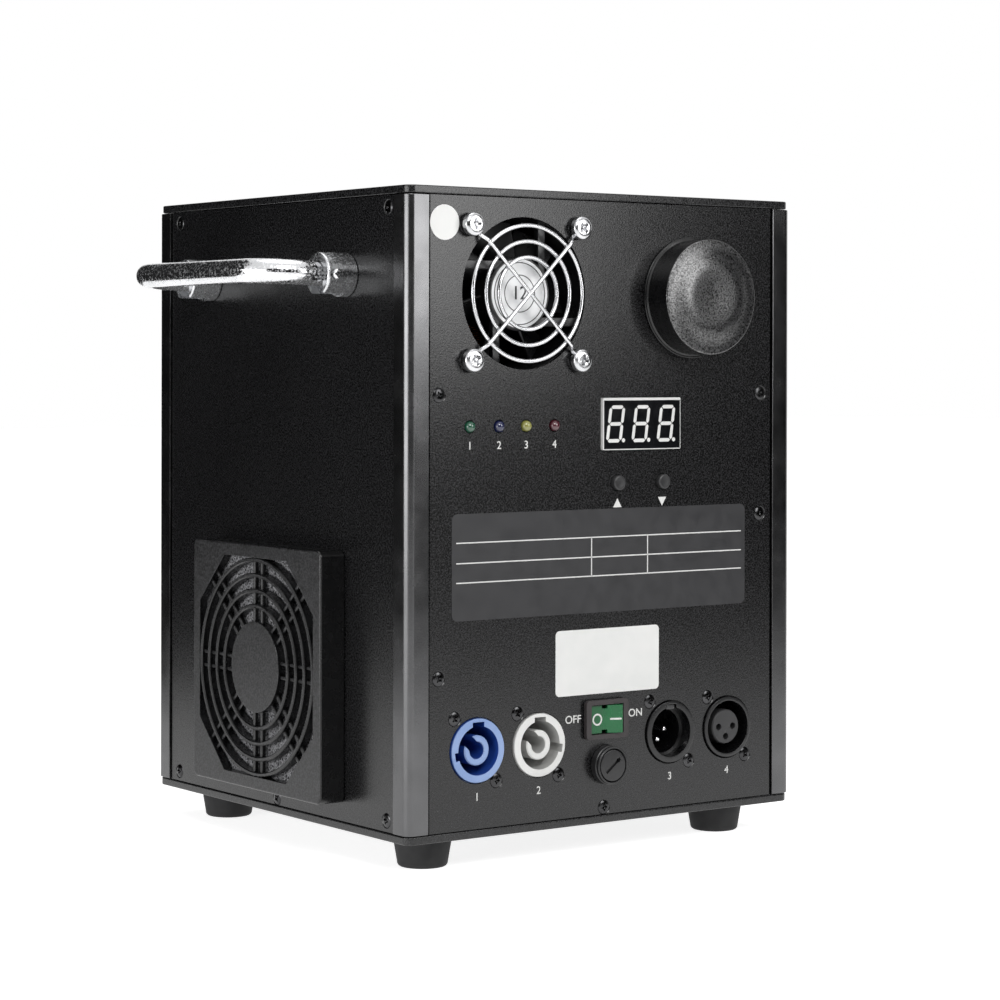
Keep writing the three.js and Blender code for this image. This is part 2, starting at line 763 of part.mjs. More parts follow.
// The intake fan is turned over, so its open side faces the filter.
function makeIntakeFan() {
  const frame = fanFrame(intakeFanSize, intakeFanBore, intakeFanHub, intakeFanDepth,
    intakeFanHolePitch);
  const rotor = fanRotor(intakeFanBore, intakeFanHub, intakeFanDepth);
  const fan = new THREE.Group();
  fan.position.set(filterX, filterY, panelBack - intakeFanDepth);
  fan.rotation.y = Math.PI;
  leftFace.add(fan);
  addPiece(fan, 'intake_fan_frame', frame, finish.blackPlastic);
  addPiece(fan, 'intake_fan_rotor', rotor, finish.blackPlastic);
}

// Three wire rings welded over two crossed wires that end in eyes under the fan's screws
function makeFingerGuard() {
  const wireZ = fit + guardWireRadius;
  const corner = exhaustFanHolePitch / 2;
  let guard = null;
  for (let i = 0; i < guardRingCount; i += 1) {
    const radius = guardOuterRadius - i * guardRingPitch;
    const ring = new THREE.TorusGeometry(radius, guardWireRadius, wireSides, largeSides);
    const solid = toSolid(ring.translate(0, 0, wireZ + guardRingLift));
    guard = guard ? guard.add(solid) : solid;
  }
  for (const turn of [Math.PI / 4, -Math.PI / 4]) {
    const length = 2 * (Math.hypot(corner, corner) - guardEyeRadius);
    const wire = new THREE.CylinderGeometry(guardWireRadius, guardWireRadius, length, wireSides);
    guard = guard.add(toSolid(wire.rotateZ(turn).translate(0, 0, wireZ)));
  }
  for (const x of [-corner, corner]) {
    for (const y of [-corner, corner]) {
      const eye = new THREE.TorusGeometry(guardEyeRadius, guardWireRadius, wireSides, smallSides);
      guard = guard.add(toSolid(eye.translate(x, y, wireZ)));
    }
  }
  addPiece(controlFace, 'finger_guard', guard, finish.chrome, ...fanPlace, 0);
}

// Filter: a frame on the panel, a foam pad and a cover grille that snaps over both

function octagon(size, chamfer) {
  const half = size / 2;
  const flat = half - chamfer;
  return polygon([
    [half, -flat], [half, flat], [flat, half], [-flat, half],
    [-half, flat], [-half, -flat], [-flat, -half], [flat, -half],
  ]);
}

function spokeGeometry(offset, z0, z1) {
  const inner = filterHubRadius - filterSpokeWidth;
  const outer = filterWindow / Math.SQRT2;
  const geometry = new THREE.BoxGeometry(outer - inner, filterSpokeWidth, z1 - z0);
  return geometry.translate((inner + outer) / 2, offset, (z0 + z1) / 2);
}

function filterGrille() {
  const face = filterDepth;
  const back = filterDepth - filterFaceThickness;
  const spokeTop = face - filterSpokeSetback;
  let grille = rod('z', filterHubRadius, back, face, 0, 0, largeSides);
  for (let i = 0; i < filterRingCount; i += 1) {
    const middle = filterHubRadius + (i + 1) * filterRingPitch;
    const outer = rod('z', middle + filterRingWidth / 2, back, face, 0, 0, largeSides);
    const inner = rod('z', middle - filterRingWidth / 2, back - overrun, face + overrun, 0, 0,
      largeSides);
    grille = grille.add(cut(outer, inner));
  }
  for (const side of [-0.5, 0.5]) {
    const offset = side * filterSpokeSpacing;
    grille = grille.add(ringOf(8, () => spokeGeometry(offset, back, spokeTop)));
  }
  return grille.intersect(extruded(octagon(filterWindow + overrun, filterWindowChamfer), back, face));
}

function makeFilter() {
  const inner = filterSize - 2 * filterWall;
  const outline = roundedOutline(filterSize, filterSize, filterCornerRadius);
  const innerOutline = roundedOutline(inner, inner, filterCornerRadius - filterWall / 2);
  const window = octagon(filterWindow, filterWindowChamfer);
  const back = filterDepth - filterFaceThickness;
  const shell = cut(
    extruded(outline, fit, filterDepth),
    extruded(innerOutline, fit - overrun, back),
    extruded(window, back - overrun, filterDepth + overrun),
  );
  addPiece(leftFace, 'filter_cover', shell.add(filterGrille()), finish.blackPlastic,
    filterX, filterY, 0);

  const padSize = inner - 2 * fit;
  const foamTop = back - fit;
  const foamBottom = foamTop - filterFoamThickness;
  const pad = extruded(roundedOutline(padSize, padSize, filterCornerRadius), foamBottom, foamTop);
  addPiece(leftFace, 'filter_foam', pad, finish.foam, filterX, filterY, 0);

  const frameTop = foamBottom - fit;
  const outlineFrame = roundedOutline(padSize, padSize, filterCornerRadius);
  const duct = rod('z', intakeFanBore / 2, fit - overrun, frameTop + overrun, 0, 0, largeSides);
  const frame = cut(extruded(outlineFrame, fit, frameTop), duct);
  addPiece(leftFace, 'filter_frame', frame, finish.blackPlastic, filterX, filterY, 0);
}

// Control board with what it carries

function makeDisplay() {
  const body = slab(displayWidth, displayHeight, -boardSetback + fit, displayProud);
  addPiece(controlFace, 'display_module', body, finish.face, ...displayPlace, 0);
}

function makeLamps() {
  const names = ['ready_lamp', 'link_lamp', 'fault_lamp', 'heat_lamp'];
  const shoulder = lampProud - lampRadius;
  const dome = new THREE.SphereGeometry(lampRadius, smallSides, 6).rotateX(Math.PI / 2);
  const lamp = join(
    rod('z', lampRadius, -boardSetback + fit, shoulder, 0, 0, smallSides),
    toSolid(dome.translate(0, 0, shoulder)),
  );
  names.forEach((name, i) => {
    addPiece(controlFace, name, lamp, lampFinish[i], ...lampPlaces[i], 0);
  });
}

function makeButtons() {
  const back = -boardSetback + switchHeight + buttonTravelGap;
  const cap = join(
    rod('z', buttonRadius, back, buttonProud, 0, 0, smallSides),
    rod('z', buttonRadius + buttonFlange, back, back + buttonFlange, 0, 0, smallSides),
  );
  addPiece(controlFace, 'up_button', cap, finish.blackPlastic, ...buttonPlaces[0], 0);
  addPiece(controlFace, 'down_button', cap, finish.blackPlastic, ...buttonPlaces[1], 0);
}

function makeControlBoard() {
  const left = lampPlaces[0][0] - boardMargin;
  const right = displayPlace[0] + displayWidth / 2 + boardMargin;
  const low = buttonPlaces[0][1] - boardMargin;
  const high = displayPlace[1] + displayHeight / 2 + boardMargin / 2;
  let board = block(left, right, low, high, -boardSetback - boardThickness, -boardSetback);
  for (const x of [left + boardMargin / 2, right - boardMargin / 2]) {
    for (const y of [low + boardMargin / 2, high - boardMargin / 2]) {
      board = board.add(rod('z', standoffRadius, -boardSetback, panelBack, x, y, smallSides));
    }
  }
  for (const [x, y] of buttonPlaces) {
    board = board.add(slab(switchSize, switchSize, -boardSetback - boardThickness,
      -boardSetback + switchHeight, x, y));
  }
  addPiece(controlFace, 'control_board', board, finish.board);
}

// Rocker switch: the rocker turns on two pins about the panel's vertical and rests at off,
// with its left wing pressed level.

function makeRocker() {
  const bodyWidth = rockerBezelWidth - 2 * rockerBodyMargin;
  const bodyHeight = rockerBezelHeight - 2 * rockerBodyMargin;
  const bezel = roundedOutline(rockerBezelWidth, rockerBezelHeight, rockerBezelCorner);
  const wellDepth = rockerBodyDepth - 2 * rockerBodyMargin;
  const wellWidth = 2 * (rockerRadius + fit);
  const wellHeight = rockerHeight + 2 * fit;
  const housing = cut(
    join(
      extruded(bezel, fit, rockerBezelProud),
      slab(bodyWidth, bodyHeight, -rockerBodyDepth, 2 * fit),
    ),
    slab(wellWidth, wellHeight, -wellDepth, rockerBezelProud + overrun),
    rod('y', rockerPinRadius + fit, -bodyHeight, bodyHeight, 0, -rockerPivotDepth),
  );
  addPiece(controlFace, 'rocker_housing', housing, finish.blackPlastic, ...rockerPlace, 0);

  const valleyTop = rockerPivotDepth + rockerValley;
  const wingTop = valleyTop + rockerRadius * Math.tan(rockerTilt);
  const section = polygon([
    [-rockerRadius, -rockerWingWall], [rockerRadius, -rockerWingWall], [rockerRadius, wingTop],
    [0, valleyTop], [-rockerRadius, wingTop],
  ]);
  const wings = new THREE.ExtrudeGeometry(section, { depth: rockerHeight, bevelEnabled: false });
  wings.translate(0, 0, -rockerHeight / 2).rotateX(Math.PI / 2);
  const round = rod('y', rockerRadius, -rockerHeight, rockerHeight, 0, 0, largeSides);
  const rocker = join(
    toSolid(wings).intersect(round),
    rod('y', rockerPinRadius, -bodyHeight / 2 + fit, bodyHeight / 2 - fit),
  );
  const place = [rockerPlace[0], rockerPlace[1], -rockerPivotDepth];
  const mesh = addPiece(controlFace, 'rocker', rocker, finish.green, ...place);
  mesh.rotation.y = -rockerTilt;
}

// Fuse holder with a slotted cap that turns a little and draws out the fuse link

function makeFuse() {
  const mouth = fuseBezelProud;
  const capBack = mouth - fuseCapDepth;
  const skirtBack = capBack - fuseSkirtDepth;
  const linkTop = skirtBack - fit;
  const linkBottom = linkTop - fuseLinkLength;
  const holder = cut(
    join(rod('z', fuseBezelRadius, fit, mouth), rod('z', fuseBodyRadius, -fuseBodyDepth, fit + fit)),
    rod('z', fuseCapRadius + fit, capBack - fit, mouth + overrun),
    rod('z', fuseSkirtRadius + fit, linkTop, mouth),
    rod('z', fuseLinkRadius + fit, linkBottom - fit, mouth),
  );
  addPiece(controlFace, 'fuse_holder', holder, finish.blackPlastic, ...fusePlace, 0);

  const slotLength = 2 * fuseSlotShare * fuseCapRadius;
  const slot = new THREE.BoxGeometry(slotLength, fuseSlotWidth, 2 * fuseSlotDepth);
  slot.rotateZ(fuseSlotTurn).translate(0, 0, mouth);
  const cap = cut(
    join(rod('z', fuseCapRadius, capBack, mouth), rod('z', fuseSkirtRadius, skirtBack, capBack + fit)),
    toSolid(slot),
  );
  addPiece(controlFace, 'fuse_cap', cap, finish.blackPlastic, ...fusePlace, 0);
  const link = rod('z', fuseLinkRadius, linkBottom, linkTop, 0, 0, smallSides);
  addPiece(controlFace, 'fuse_link', link, finish.brass, ...fusePlace, 0);
}

// Sockets: a barrel through the panel, held by a flange and two screws behind it

function socketBody() {
  const flange = slab(socketFlangeWidth, socketFlangeHeight, panelBack - socketFlangeThickness,
    panelBack);
  const body = rod('z', socketRadius, -socketDepth, socketProud);
  return cut(
    join(body, flange),
    rod('z', socketScrewRadius, panelBack - socketFlangeThickness - overrun, panelBack + overrun,
      -socketScrewX, socketScrewY, smallSides),
    rod('z', socketScrewRadius, panelBack - socketFlangeThickness - overrun, panelBack + overrun,
      socketScrewX, -socketScrewY, smallSides),
  );
}

// The power sockets have keyways in the bore and a core with an open side.
function powerSocket(keyTurns, gapTurn) {
  const floor = -socketDepth + socketFloor;
  const front = socketProud + overrun;
  let socket = cut(socketBody(), rod('z', powerBoreRadius, floor, front));
  for (const turn of keyTurns) {
    const depth = powerBoreRadius + powerKeyDepth;
    const key = new THREE.BoxGeometry(powerKeyWidth, depth, front - floor);
    key.translate(0, depth / 2, (floor + front) / 2).rotateZ(turn);
    socket = socket.subtract(toSolid(key));
  }
  const gap = new THREE.BoxGeometry(powerCoreGap, 2 * powerCoreRadius, front - floor);
  gap.translate(0, powerCoreRadius, (floor + front) / 2).rotateZ(gapTurn);
  const core = cut(
    rod('z', powerCoreRadius, floor - overrun, 0),
    rod('z', powerCoreBore, floor, front),
    toSolid(gap),
  );
  return socket.add(core);
}

function contactPlaces() {
  return [0, 1, 2].map((i) => {
    const angle = (0.5 + (2 * i) / 3) * -Math.PI;
    return [contactCircleRadius * Math.cos(angle), contactCircleRadius * Math.sin(angle)];
  });
}

function dataPlugSocket() {
  const floor = -socketDepth + socketFloor;
  const front = socketProud + overrun;
  const groove = cut(
    rod('z', plugGrooveOuter, -plugGrooveDepth, front),
    rod('z', plugGrooveInner, -plugGrooveDepth - overrun, front + overrun),
  );
  const notch = slab(powerKeyWidth, plugGrooveOuter, -plugGrooveDepth, front, 0, plugGrooveOuter / 2);
  const body = cut(socketBody(), rod('z', plugBoreRadius, floor, front), groove, notch);
  const pins = contactPlaces().map(([x, y]) => (
    rod('z', contactRadius, floor - overrun, -contactSetback, x, y, smallSides)
  ));
  return join(body, ...pins);
}

function dataJackSocket() {
  const floor = -socketDepth + socketFloor;
  const insertTop = -jackInsertSetback;
  const body = cut(socketBody(), rod('z', jackBoreRadius, floor, socketProud + overrun));
  const holes = contactPlaces().map(([x, y]) => (
    rod('z', contactRadius, insertTop - jackHoleDepth, insertTop + overrun, x, y, smallSides)
  ));
  return cut(join(body, rod('z', jackInsertRadius, floor - overrun, insertTop)), ...holes);
}

function makeSockets() {
  const [powerIn, powerOut, dataIn, dataOut] = socketPlaces;
  const inlet = powerSocket([0, powerSideKeyTurn], powerCoreGapTurn);
  const outlet = powerSocket([0, -powerSideKeyTurn], powerCoreGapTurn);
  addPiece(controlFace, 'power_in_socket', inlet, finish.blue, ...powerIn, 0);
  addPiece(controlFace, 'power_out_socket', outlet, finish.white, ...powerOut, 0);
  addPiece(controlFace, 'data_in_socket', dataPlugSocket(), finish.blackPlastic, ...dataIn, 0);
  addPiece(controlFace, 'data_out_socket', dataJackSocket(), finish.blackPlastic, ...dataOut, 0);
}

// Filler cap: a cup that pushes over the hopper's neck

function makeFillerCap() {
  const inside = neckRadius + fit;
  const floor = capLength - capFloor;
  const cap = turned([
    [inside, fit],
    [capRadius, fit],
    [capFaceRadius, capLength - capEdge],
    [capFaceRadius - capEdge, capLength - capCrown / 2],
    [capFaceRadius / 2, capLength],
    [0, capLength],
    [0, floor],
    [inside, floor],
    [inside, fit],
  ], largeSides);
  addPiece(controlFace, 'filler_cap', cap, finish.capPlastic, ...fillerPlace, 0);
}

// Heating chamber: a drum across the case with the spark tube standing on it

const drumHeight = footHeight + drumHeightShare * caseHeight;
const drumHalf = drumLength / 2;
const feedHeight = drumHeight + feedRise;
const tubeBore = tubeRadius - tubeWall;
const tubeTop = roof - tubeEndGap;
const barrelStart = drumHalf + fit;
const feedMotorEnd = sideFace - panelThickness - postWall;
const barrelEnd = feedMotorEnd - feedMotorLength - fit;

function makeChamber() {
  const inner = drumRadius - drumWall;
  const half = drumHalf - drumWall;
  const outside = join(
    rod('x', drumRadius, -drumHalf, drumHalf, 0, drumHeight, largeSides),
    rod('z', tubeRadius, drumHeight, tubeTop),
  );
  const chamber = cut(
    outside,
    rod('x', inner, -half, half, 0, drumHeight, largeSides),
    rod('z', tubeBore, drumHeight, tubeTop + overrun),
    rod('x', feedBarrelRadius - feedBarrelWall, half - overrun, drumHalf + overrun, feedSide, feedHeight),
    rod('x', impellerShaftRadius + fit, -drumHalf - overrun, -half + overrun, 0, drumHeight),
  );
  addPiece(machine, 'heating_chamber', chamber, finish.steel);

  const coilInner = tubeRadius + fit;
  const coilOuter = coilInner + coilThickness;
  const coilMiddle = (drumHeight + drumRadius + tubeTop) / 2;
  const coil = cut(
    rod('z', coilOuter, coilMiddle - coilLength / 2, coilMiddle + coilLength / 2),
    rod('z', coilInner, coilMiddle - coilLength, coilMiddle + coilLength),
  );
  addPiece(machine, 'induction_coil', coil, finish.copper);

  const standTop = drumHeight - standSaddle;
  const stand = cut(
    block(-standWidth / 2, standWidth / 2, -standDepth / 2, standDepth / 2, floorTop + fit, standTop),
    rod('x', drumRadius + fit, -drumLength, drumLength, 0, drumHeight, largeSides),
    block(-standWidth, standWidth, -standDepth / 2 + standWall, standDepth / 2 - standWall,
      floorTop + fit + standWall, drumHeight - drumRadius - 2 * standWall),
  );
  addPiece(machine, 'chamber_stand', stand, finish.steel);
}

// Nozzle ring: its flange is under the top plate, its mouth is level with the plate's top and
// its collar goes down round the spark tube.
function makeNozzle() {
  const rim = roof + plateThickness;
  const flangeTop = roof - fit;
  const flangeBottom = flangeTop - nozzleFlangeThickness;
  const collarInner = tubeRadius + fit;
  const collarOuter = collarInner + 2 * nozzleFlangeThickness;
  const collarBottom = flangeBottom - nozzleCollar;
  const ring = turned([
    [collarInner, collarBottom],
    [collarOuter, collarBottom],
    [collarOuter, flangeBottom],
    [nozzleRadius + nozzleFlange, flangeBottom],
    [nozzleRadius + nozzleFlange, flangeTop],
    [nozzleRadius, flangeTop],
    [nozzleRadius, rim],
    [nozzleMouthRadius, rim],
    [collarInner, flangeBottom],
    [collarInner, collarBottom],
  ], largeSides);
  addPiece(machine, 'nozzle_ring', ring, finish.steel);
}

// Hopper: a tank behind the filler neck that narrows to a spout over the feed barrel

function tankOutline(margin) {
  const front = -frontFace - panelBack + hopperFrontGap + margin;
  const back = hopperBack - margin;
  const top = roof - nozzleFlange - 2 * nozzleFlangeThickness - margin;
  const bottom = feedHeight + feedBarrelRadius + feedSpoutLength + margin;
  const shoulder = bottom + hopperShoulder;
  const spoutFront = feedSide - feedSpoutRadius - hopperWall;
  return polygon([[front, top], [front, shoulder], [spoutFront, bottom], [back, bottom], [back, top]]);
}

// A prism along x of an outline in y and z
function prismX(outline, x0, x1) {
  const geometry = new THREE.ExtrudeGeometry(outline, { depth: x1 - x0, bevelEnabled: false });
  return toSolid(geometry.rotateX(Math.PI / 2).rotateZ(Math.PI / 2).translate(x0, 0, 0));
}

function makeHopper() {
  const [neckX, neckZ] = fillerPlace;
  const tankLeft = tubeRadius + fit + coilThickness + hopperWall;
  const tankRight = sideFace - panelThickness - hopperSideGap;
  const tankFront = -frontFace - panelBack + hopperFrontGap;
  const neckFront = -frontFace - neckReach;
  const flangeFront = -frontFace - panelBack;
  const spoutX = (barrelStart + barrelEnd) / 2;
  const barrelBore = feedBarrelRadius - feedBarrelWall;
  const spoutBottom = feedHeight;
  const spoutTop = feedHeight + feedBarrelRadius + feedSpoutLength;
  const outside = join(
    prismX(tankOutline(0), tankLeft, tankRight),
    rod('y', neckRadius, neckFront, tankFront + hopperWall, neckX, neckZ),
    rod('y', capRadius, flangeFront, flangeFront + hopperWall, neckX, neckZ),
    rod('z', feedSpoutRadius, spoutBottom, spoutTop + hopperWall / 2, spoutX, feedSide),
    rod('x', feedBarrelRadius, barrelStart, barrelEnd, feedSide, feedHeight),
  );
  const hopper = cut(
    outside,
    prismX(tankOutline(hopperWall), tankLeft + hopperWall, tankRight - hopperWall),
    rod('y', neckRadius - neckWall, neckFront - overrun, tankFront + 2 * hopperWall, neckX, neckZ),
    rod('z', feedSpoutRadius - hopperWall, spoutBottom, spoutTop + 2 * hopperWall, spoutX, feedSide),
    rod('x', barrelBore, barrelStart - overrun, barrelEnd + overrun, feedSide, feedHeight),
  );
  addPiece(machine, 'hopper', hopper, finish.steel);
}

// Auger: a flight wound round a core, driven by a gear motor behind the right panel

function flightGeometry(innerRadius, outerRadius, length) {
  const steps = smallSides * augerTurns;
  const width = outerRadius - innerRadius;
  const geometry = new THREE.BoxGeometry(width, augerFlightThickness, 1, 1, 1, steps);
  const places = geometry.getAttribute('position');
  for (let i = 0; i < places.count; i += 1) {
    const share = places.getZ(i) + 0.5;
    const radius = (innerRadius + outerRadius) / 2 + places.getX(i);
    const angle = share * augerTurns * 2 * Math.PI + Math.PI / smallSides;
    const along = share * length - places.getY(i);
    places.setXYZ(i, along, radius * Math.cos(angle), radius * Math.sin(angle));
  }
  return geometry;
}

function makeFeed() {
  const flightRadius = feedBarrelRadius - feedBarrelWall - augerClearance;
  const start = barrelStart + augerFlightThickness;
  const length = barrelEnd - barrelStart - 2 * augerFlightThickness;
  const shaftEnd = barrelEnd + feedMotorLength / 2;
  const flight = flightGeometry(augerCoreRadius / 2, flightRadius, length);
  const auger = join(
    toSolid(flight.translate(start, 0, 0)),
    rod('x', augerCoreRadius, start - augerFlightThickness, shaftEnd, 0, 0, smallSides),
  );
  addPiece(machine, 'feed_auger', auger, finish.steel, 0, feedSide, feedHeight);
  const motorStart = barrelEnd + fit;
  const motor = cut(
    rod('x', feedMotorRadius, motorStart, motorStart + feedMotorLength, 0, 0),
    rod('x', augerCoreRadius + fit, motorStart - overrun, shaftEnd + fit, 0, 0),
  );
  addPiece(machine, 'feed_motor', motor, finish.steel, 0, feedSide, feedHeight);
}

// Impeller: straight blades on a hub inside the drum, on the shaft of the motor beside it
function makeImpeller() {
  const half = drumHalf - drumWall - impellerClearance;
  const tip = drumRadius - drumWall - impellerClearance;
  const shaftStart = -drumHalf - fit - impellerShaftReach;
  const blades = () => {
    const geometry = new THREE.BoxGeometry(tip, impellerBladeThickness, 2 * half);
    return geometry.translate(tip / 2, 0, 0);
  };
  const wheel = join(
    ringOf(impellerBladeCount, blades),
    rod('z', impellerHubRadius, -half, half),
    rod('z', impellerShaftRadius, shaftStart, 0),
  );
  const impeller = addPiece(machine, 'spark_impeller', wheel, finish.steel, 0, 0, drumHeight);
  impeller.rotation.y = Math.PI / 2;

  const motorStart = -drumHalf - fit;
  const fanBack = -sideFace - panelBack + intakeFanDepth;
  const motor = cut(
    rod('x', impellerMotorRadius, fanBack + impellerMotorGap, motorStart, 0, 0),
    rod('x', impellerShaftRadius + fit, shaftStart - fit, motorStart + overrun, 0, 0),
  );
  addPiece(machine, 'impeller_motor', motor, finish.steel, 0, 0, drumHeight);
}

// Power supply: an open chassis with its board, transformers and heat sinks
function makePowerSupply() {
  const right = sideFace - panelThickness - supplySideGap;
  const left = right - supplyWidth;
  const bottom = floorTop + fit;
  const top = feedHeight - feedMotorRadius - supplyTopGap;
  const half = supplyDepth / 2;
  const chassis = join(
    block(right - supplyWall, right, -half, half, bottom, top),
    block(left, right, -half, half, bottom, bottom + supplyBoard),
  );
  const height = top - bottom;
  const parts = supplyBlockShares.map(([x0, x1, y0, y1, z1]) => block(
    left + x0 * supplyWidth, left + x1 * supplyWidth,
    -half + y0 * supplyDepth, -half + y1 * supplyDepth,
    bottom + supplyBoard / 2, bottom + z1 * height,
  ));
  addPiece(machine, 'power_supply', join(chassis, ...parts), finish.steel);
}

makePlates();
makePosts();
makePanels();
makeFeet();
makeHandle(leftFace, 'left');
makeHandle(rightFace, 'right');
makeExhaustFan();
makeIntakeFan();
makeFingerGuard();
makeFilter();
makeDisplay();
makeLamps();
makeButtons();
makeControlBoard();
makeRocker();
makeFuse();
makeSockets();
makeFillerCap();
makeChamber();
makeNozzle();
makeHopper();
makeFeed();
makeImpeller();
makePowerSupply();

export default machine;
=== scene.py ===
import math

import bpy
from mathutils import Matrix, Vector


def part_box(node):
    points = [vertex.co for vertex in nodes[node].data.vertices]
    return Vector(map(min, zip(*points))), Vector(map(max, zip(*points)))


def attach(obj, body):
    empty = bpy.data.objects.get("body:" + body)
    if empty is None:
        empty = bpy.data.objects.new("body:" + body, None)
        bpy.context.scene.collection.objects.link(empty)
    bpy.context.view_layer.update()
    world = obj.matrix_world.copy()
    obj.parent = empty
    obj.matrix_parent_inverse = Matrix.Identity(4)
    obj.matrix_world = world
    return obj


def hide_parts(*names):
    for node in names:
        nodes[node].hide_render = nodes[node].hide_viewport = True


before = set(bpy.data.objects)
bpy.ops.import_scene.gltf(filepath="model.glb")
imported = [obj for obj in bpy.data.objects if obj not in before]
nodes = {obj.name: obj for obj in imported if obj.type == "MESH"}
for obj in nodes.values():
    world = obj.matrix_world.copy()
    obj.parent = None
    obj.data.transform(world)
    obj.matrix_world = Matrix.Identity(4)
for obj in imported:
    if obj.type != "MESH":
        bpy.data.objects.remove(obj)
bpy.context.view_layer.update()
mm = 0.001
print("frame loaded")

bpy.context.scene.view_settings.view_transform = "Standard"


# camera, at the height and turn from which the machine was photographed

cameraSettings = {
    "lens": 100.07,
    "sensor": 36.0,
    "shiftY": -0.1389,
    "place": (-0.65563, -0.9196, 0.18792),
    "yaw": 35.92,   # degrees to the right of straight at the control panel
    "roll": 0.11,
    "nearest": 0.01,
}


def makeCamera(settings):
    yaw = math.radians(settings["yaw"])
    roll = math.radians(settings["roll"])
    ahead = Vector((math.sin(yaw), math.cos(yaw), 0))
    right = Vector((math.cos(yaw), -math.sin(yaw), 0))
    up = Vector((0, 0, 1))
    turnedRight = right * math.cos(roll) + up * math.sin(roll)
    turnedUp = up * math.cos(roll) - right * math.sin(roll)
    lens = bpy.data.cameras.new("camera")
    lens.lens = settings["lens"]
    lens.sensor_width = settings["sensor"]
    lens.shift_y = settings["shiftY"]
    lens.clip_start = settings["nearest"]
    camera = bpy.data.objects.new("camera", lens)
    bpy.context.scene.collection.objects.link(camera)
    turn = Matrix((turnedRight, turnedUp, -ahead)).transposed().to_4x4()
    camera.matrix_world = Matrix.Translation(settings["place"]) @ turn
    bpy.context.scene.camera = camera


makeCamera(cameraSettings)
print("camera placed")


# small helpers for modelling

def select(*pieces):
    bpy.ops.object.select_all(action="DESELECT")
    for piece in pieces:
        piece.select_set(True)
    bpy.context.view_layer.objects.active = pieces[0]


def tidyNormals(piece):
    select(piece)
    bpy.ops.object.mode_set(mode="EDIT")
    bpy.ops.mesh.select_all(action="SELECT")
    bpy.ops.mesh.remove_doubles(threshold=1e-6)
    bpy.ops.mesh.normals_make_consistent(inside=False)
    bpy.ops.object.mode_set(mode="OBJECT")


def addPiece(name, operator, **settings):
    # adds one basic mesh, with its place and turn taken into its points
    bpy.ops.object.select_all(action="DESELECT")
    operator(**settings)
    piece = bpy.context.object
    piece.name = name
    bpy.ops.object.transform_apply(location=True, rotation=True, scale=True)
    return piece


def prism(name, outline, low, high):
    # an outline in mm pulled up from low to high
    piece = addPiece(name, bpy.ops.mesh.primitive_circle_add, vertices=len(outline), radius=mm,
                     fill_type="NGON")
    for vertex, (x, y) in zip(piece.data.vertices, outline):
        vertex.co = (x * mm, y * mm, low * mm)
    bpy.ops.object.mode_set(mode="EDIT")
    bpy.ops.mesh.select_all(action="SELECT")
    bpy.ops.mesh.extrude_region_move(TRANSFORM_OT_translate={"value": (0, 0, (high - low) * mm)})
    bpy.ops.object.mode_set(mode="OBJECT")
    tidyNormals(piece)
    return piece


def turned(name, profile, steps=64):
    # a profile of (radius, height) in mm spun round z; it is closed, or starts and ends on the axis
    piece = addPiece(name, bpy.ops.mesh.primitive_circle_add, vertices=len(profile), radius=mm,
                     fill_type="NOTHING")
    for vertex, (radius, height) in zip(piece.data.vertices, profile):
        vertex.co = (radius * mm, 0, height * mm)
    last = len(profile) - 1
    onAxis = profile[0][0] == 0 and profile[last][0] == 0
    bpy.context.tool_settings.mesh_select_mode = (True, False, False)
    bpy.ops.object.mode_set(mode="EDIT")
    bpy.ops.mesh.select_all(action="DESELECT")
    bpy.ops.object.mode_set(mode="OBJECT")
    if onAxis:
        for edge in piece.data.edges:
            edge.select = set(edge.vertices) == {0, last}
        for vertex in piece.data.vertices:
            vertex.select = vertex.index in (0, last)
        bpy.ops.object.mode_set(mode="EDIT")
        bpy.ops.mesh.delete(type="EDGE")
        bpy.ops.object.mode_set(mode="OBJECT")
    bpy.ops.object.mode_set(mode="EDIT")
    bpy.ops.mesh.select_all(action="SELECT")
    bpy.ops.mesh.spin(steps=steps, angle=2 * math.pi, center=(0, 0, 0), axis=(0, 0, 1))
    bpy.ops.object.mode_set(mode="OBJECT")
    tidyNormals(piece)
    return piece


def rod(name, radius, low, high, x=0, y=0, sides=64, along="Z"):
    # a plain round bar, used to cut with or as the start of a piece
    turn = {"X": (0, math.pi / 2, 0), "Y": (math.pi / 2, 0, 0), "Z": (0, 0, 0)}[along]
    middle = (low + high) / 2
    place = {"X": (middle, x, y), "Y": (x, middle, y), "Z": (x, y, middle)}[along]
    return addPiece(name, bpy.ops.mesh.primitive_cylinder_add, vertices=sides, radius=radius * mm,
                    depth=(high - low) * mm, location=[v * mm for v in place], rotation=turn)


def bar(name, x0, x1, y0, y1, z0, z1):
    bpy.ops.object.select_all(action="DESELECT")
    bpy.ops.mesh.primitive_cube_add(
        size=1, location=((x0 + x1) / 2 * mm, (y0 + y1) / 2 * mm, (z0 + z1) / 2 * mm))
    piece = bpy.context.object
    piece.name = name
    piece.scale = ((x1 - x0) * mm, (y1 - y0) * mm, (z1 - z0) * mm)
    bpy.ops.object.transform_apply(location=True, rotation=True, scale=True)
    return piece


def apply(piece, kind, **settings):
    # adds one modifier with its settings and applies it
    modifier = piece.modifiers.new(kind.lower(), kind)
    for key, value in settings.items():
        setattr(modifier, key, value)
    select(piece)
    bpy.ops.object.modifier_apply(modifier=modifier.name)
    return piece


def carve(piece, *cutters, operation="DIFFERENCE"):
    for cutter in cutters:
        apply(piece, "BOOLEAN", operation=operation, solver="EXACT", object=cutter)
        bpy.data.objects.remove(cutter)
    return piece


def soften(piece, width, segments=2, angle=35):
    # rounds every edge sharper than the angle
    return apply(piece, "BEVEL", width=width * mm, segments=segments, limit_method="ANGLE",
                 angle_limit=math.radians(angle), use_clamp_overlap=True)


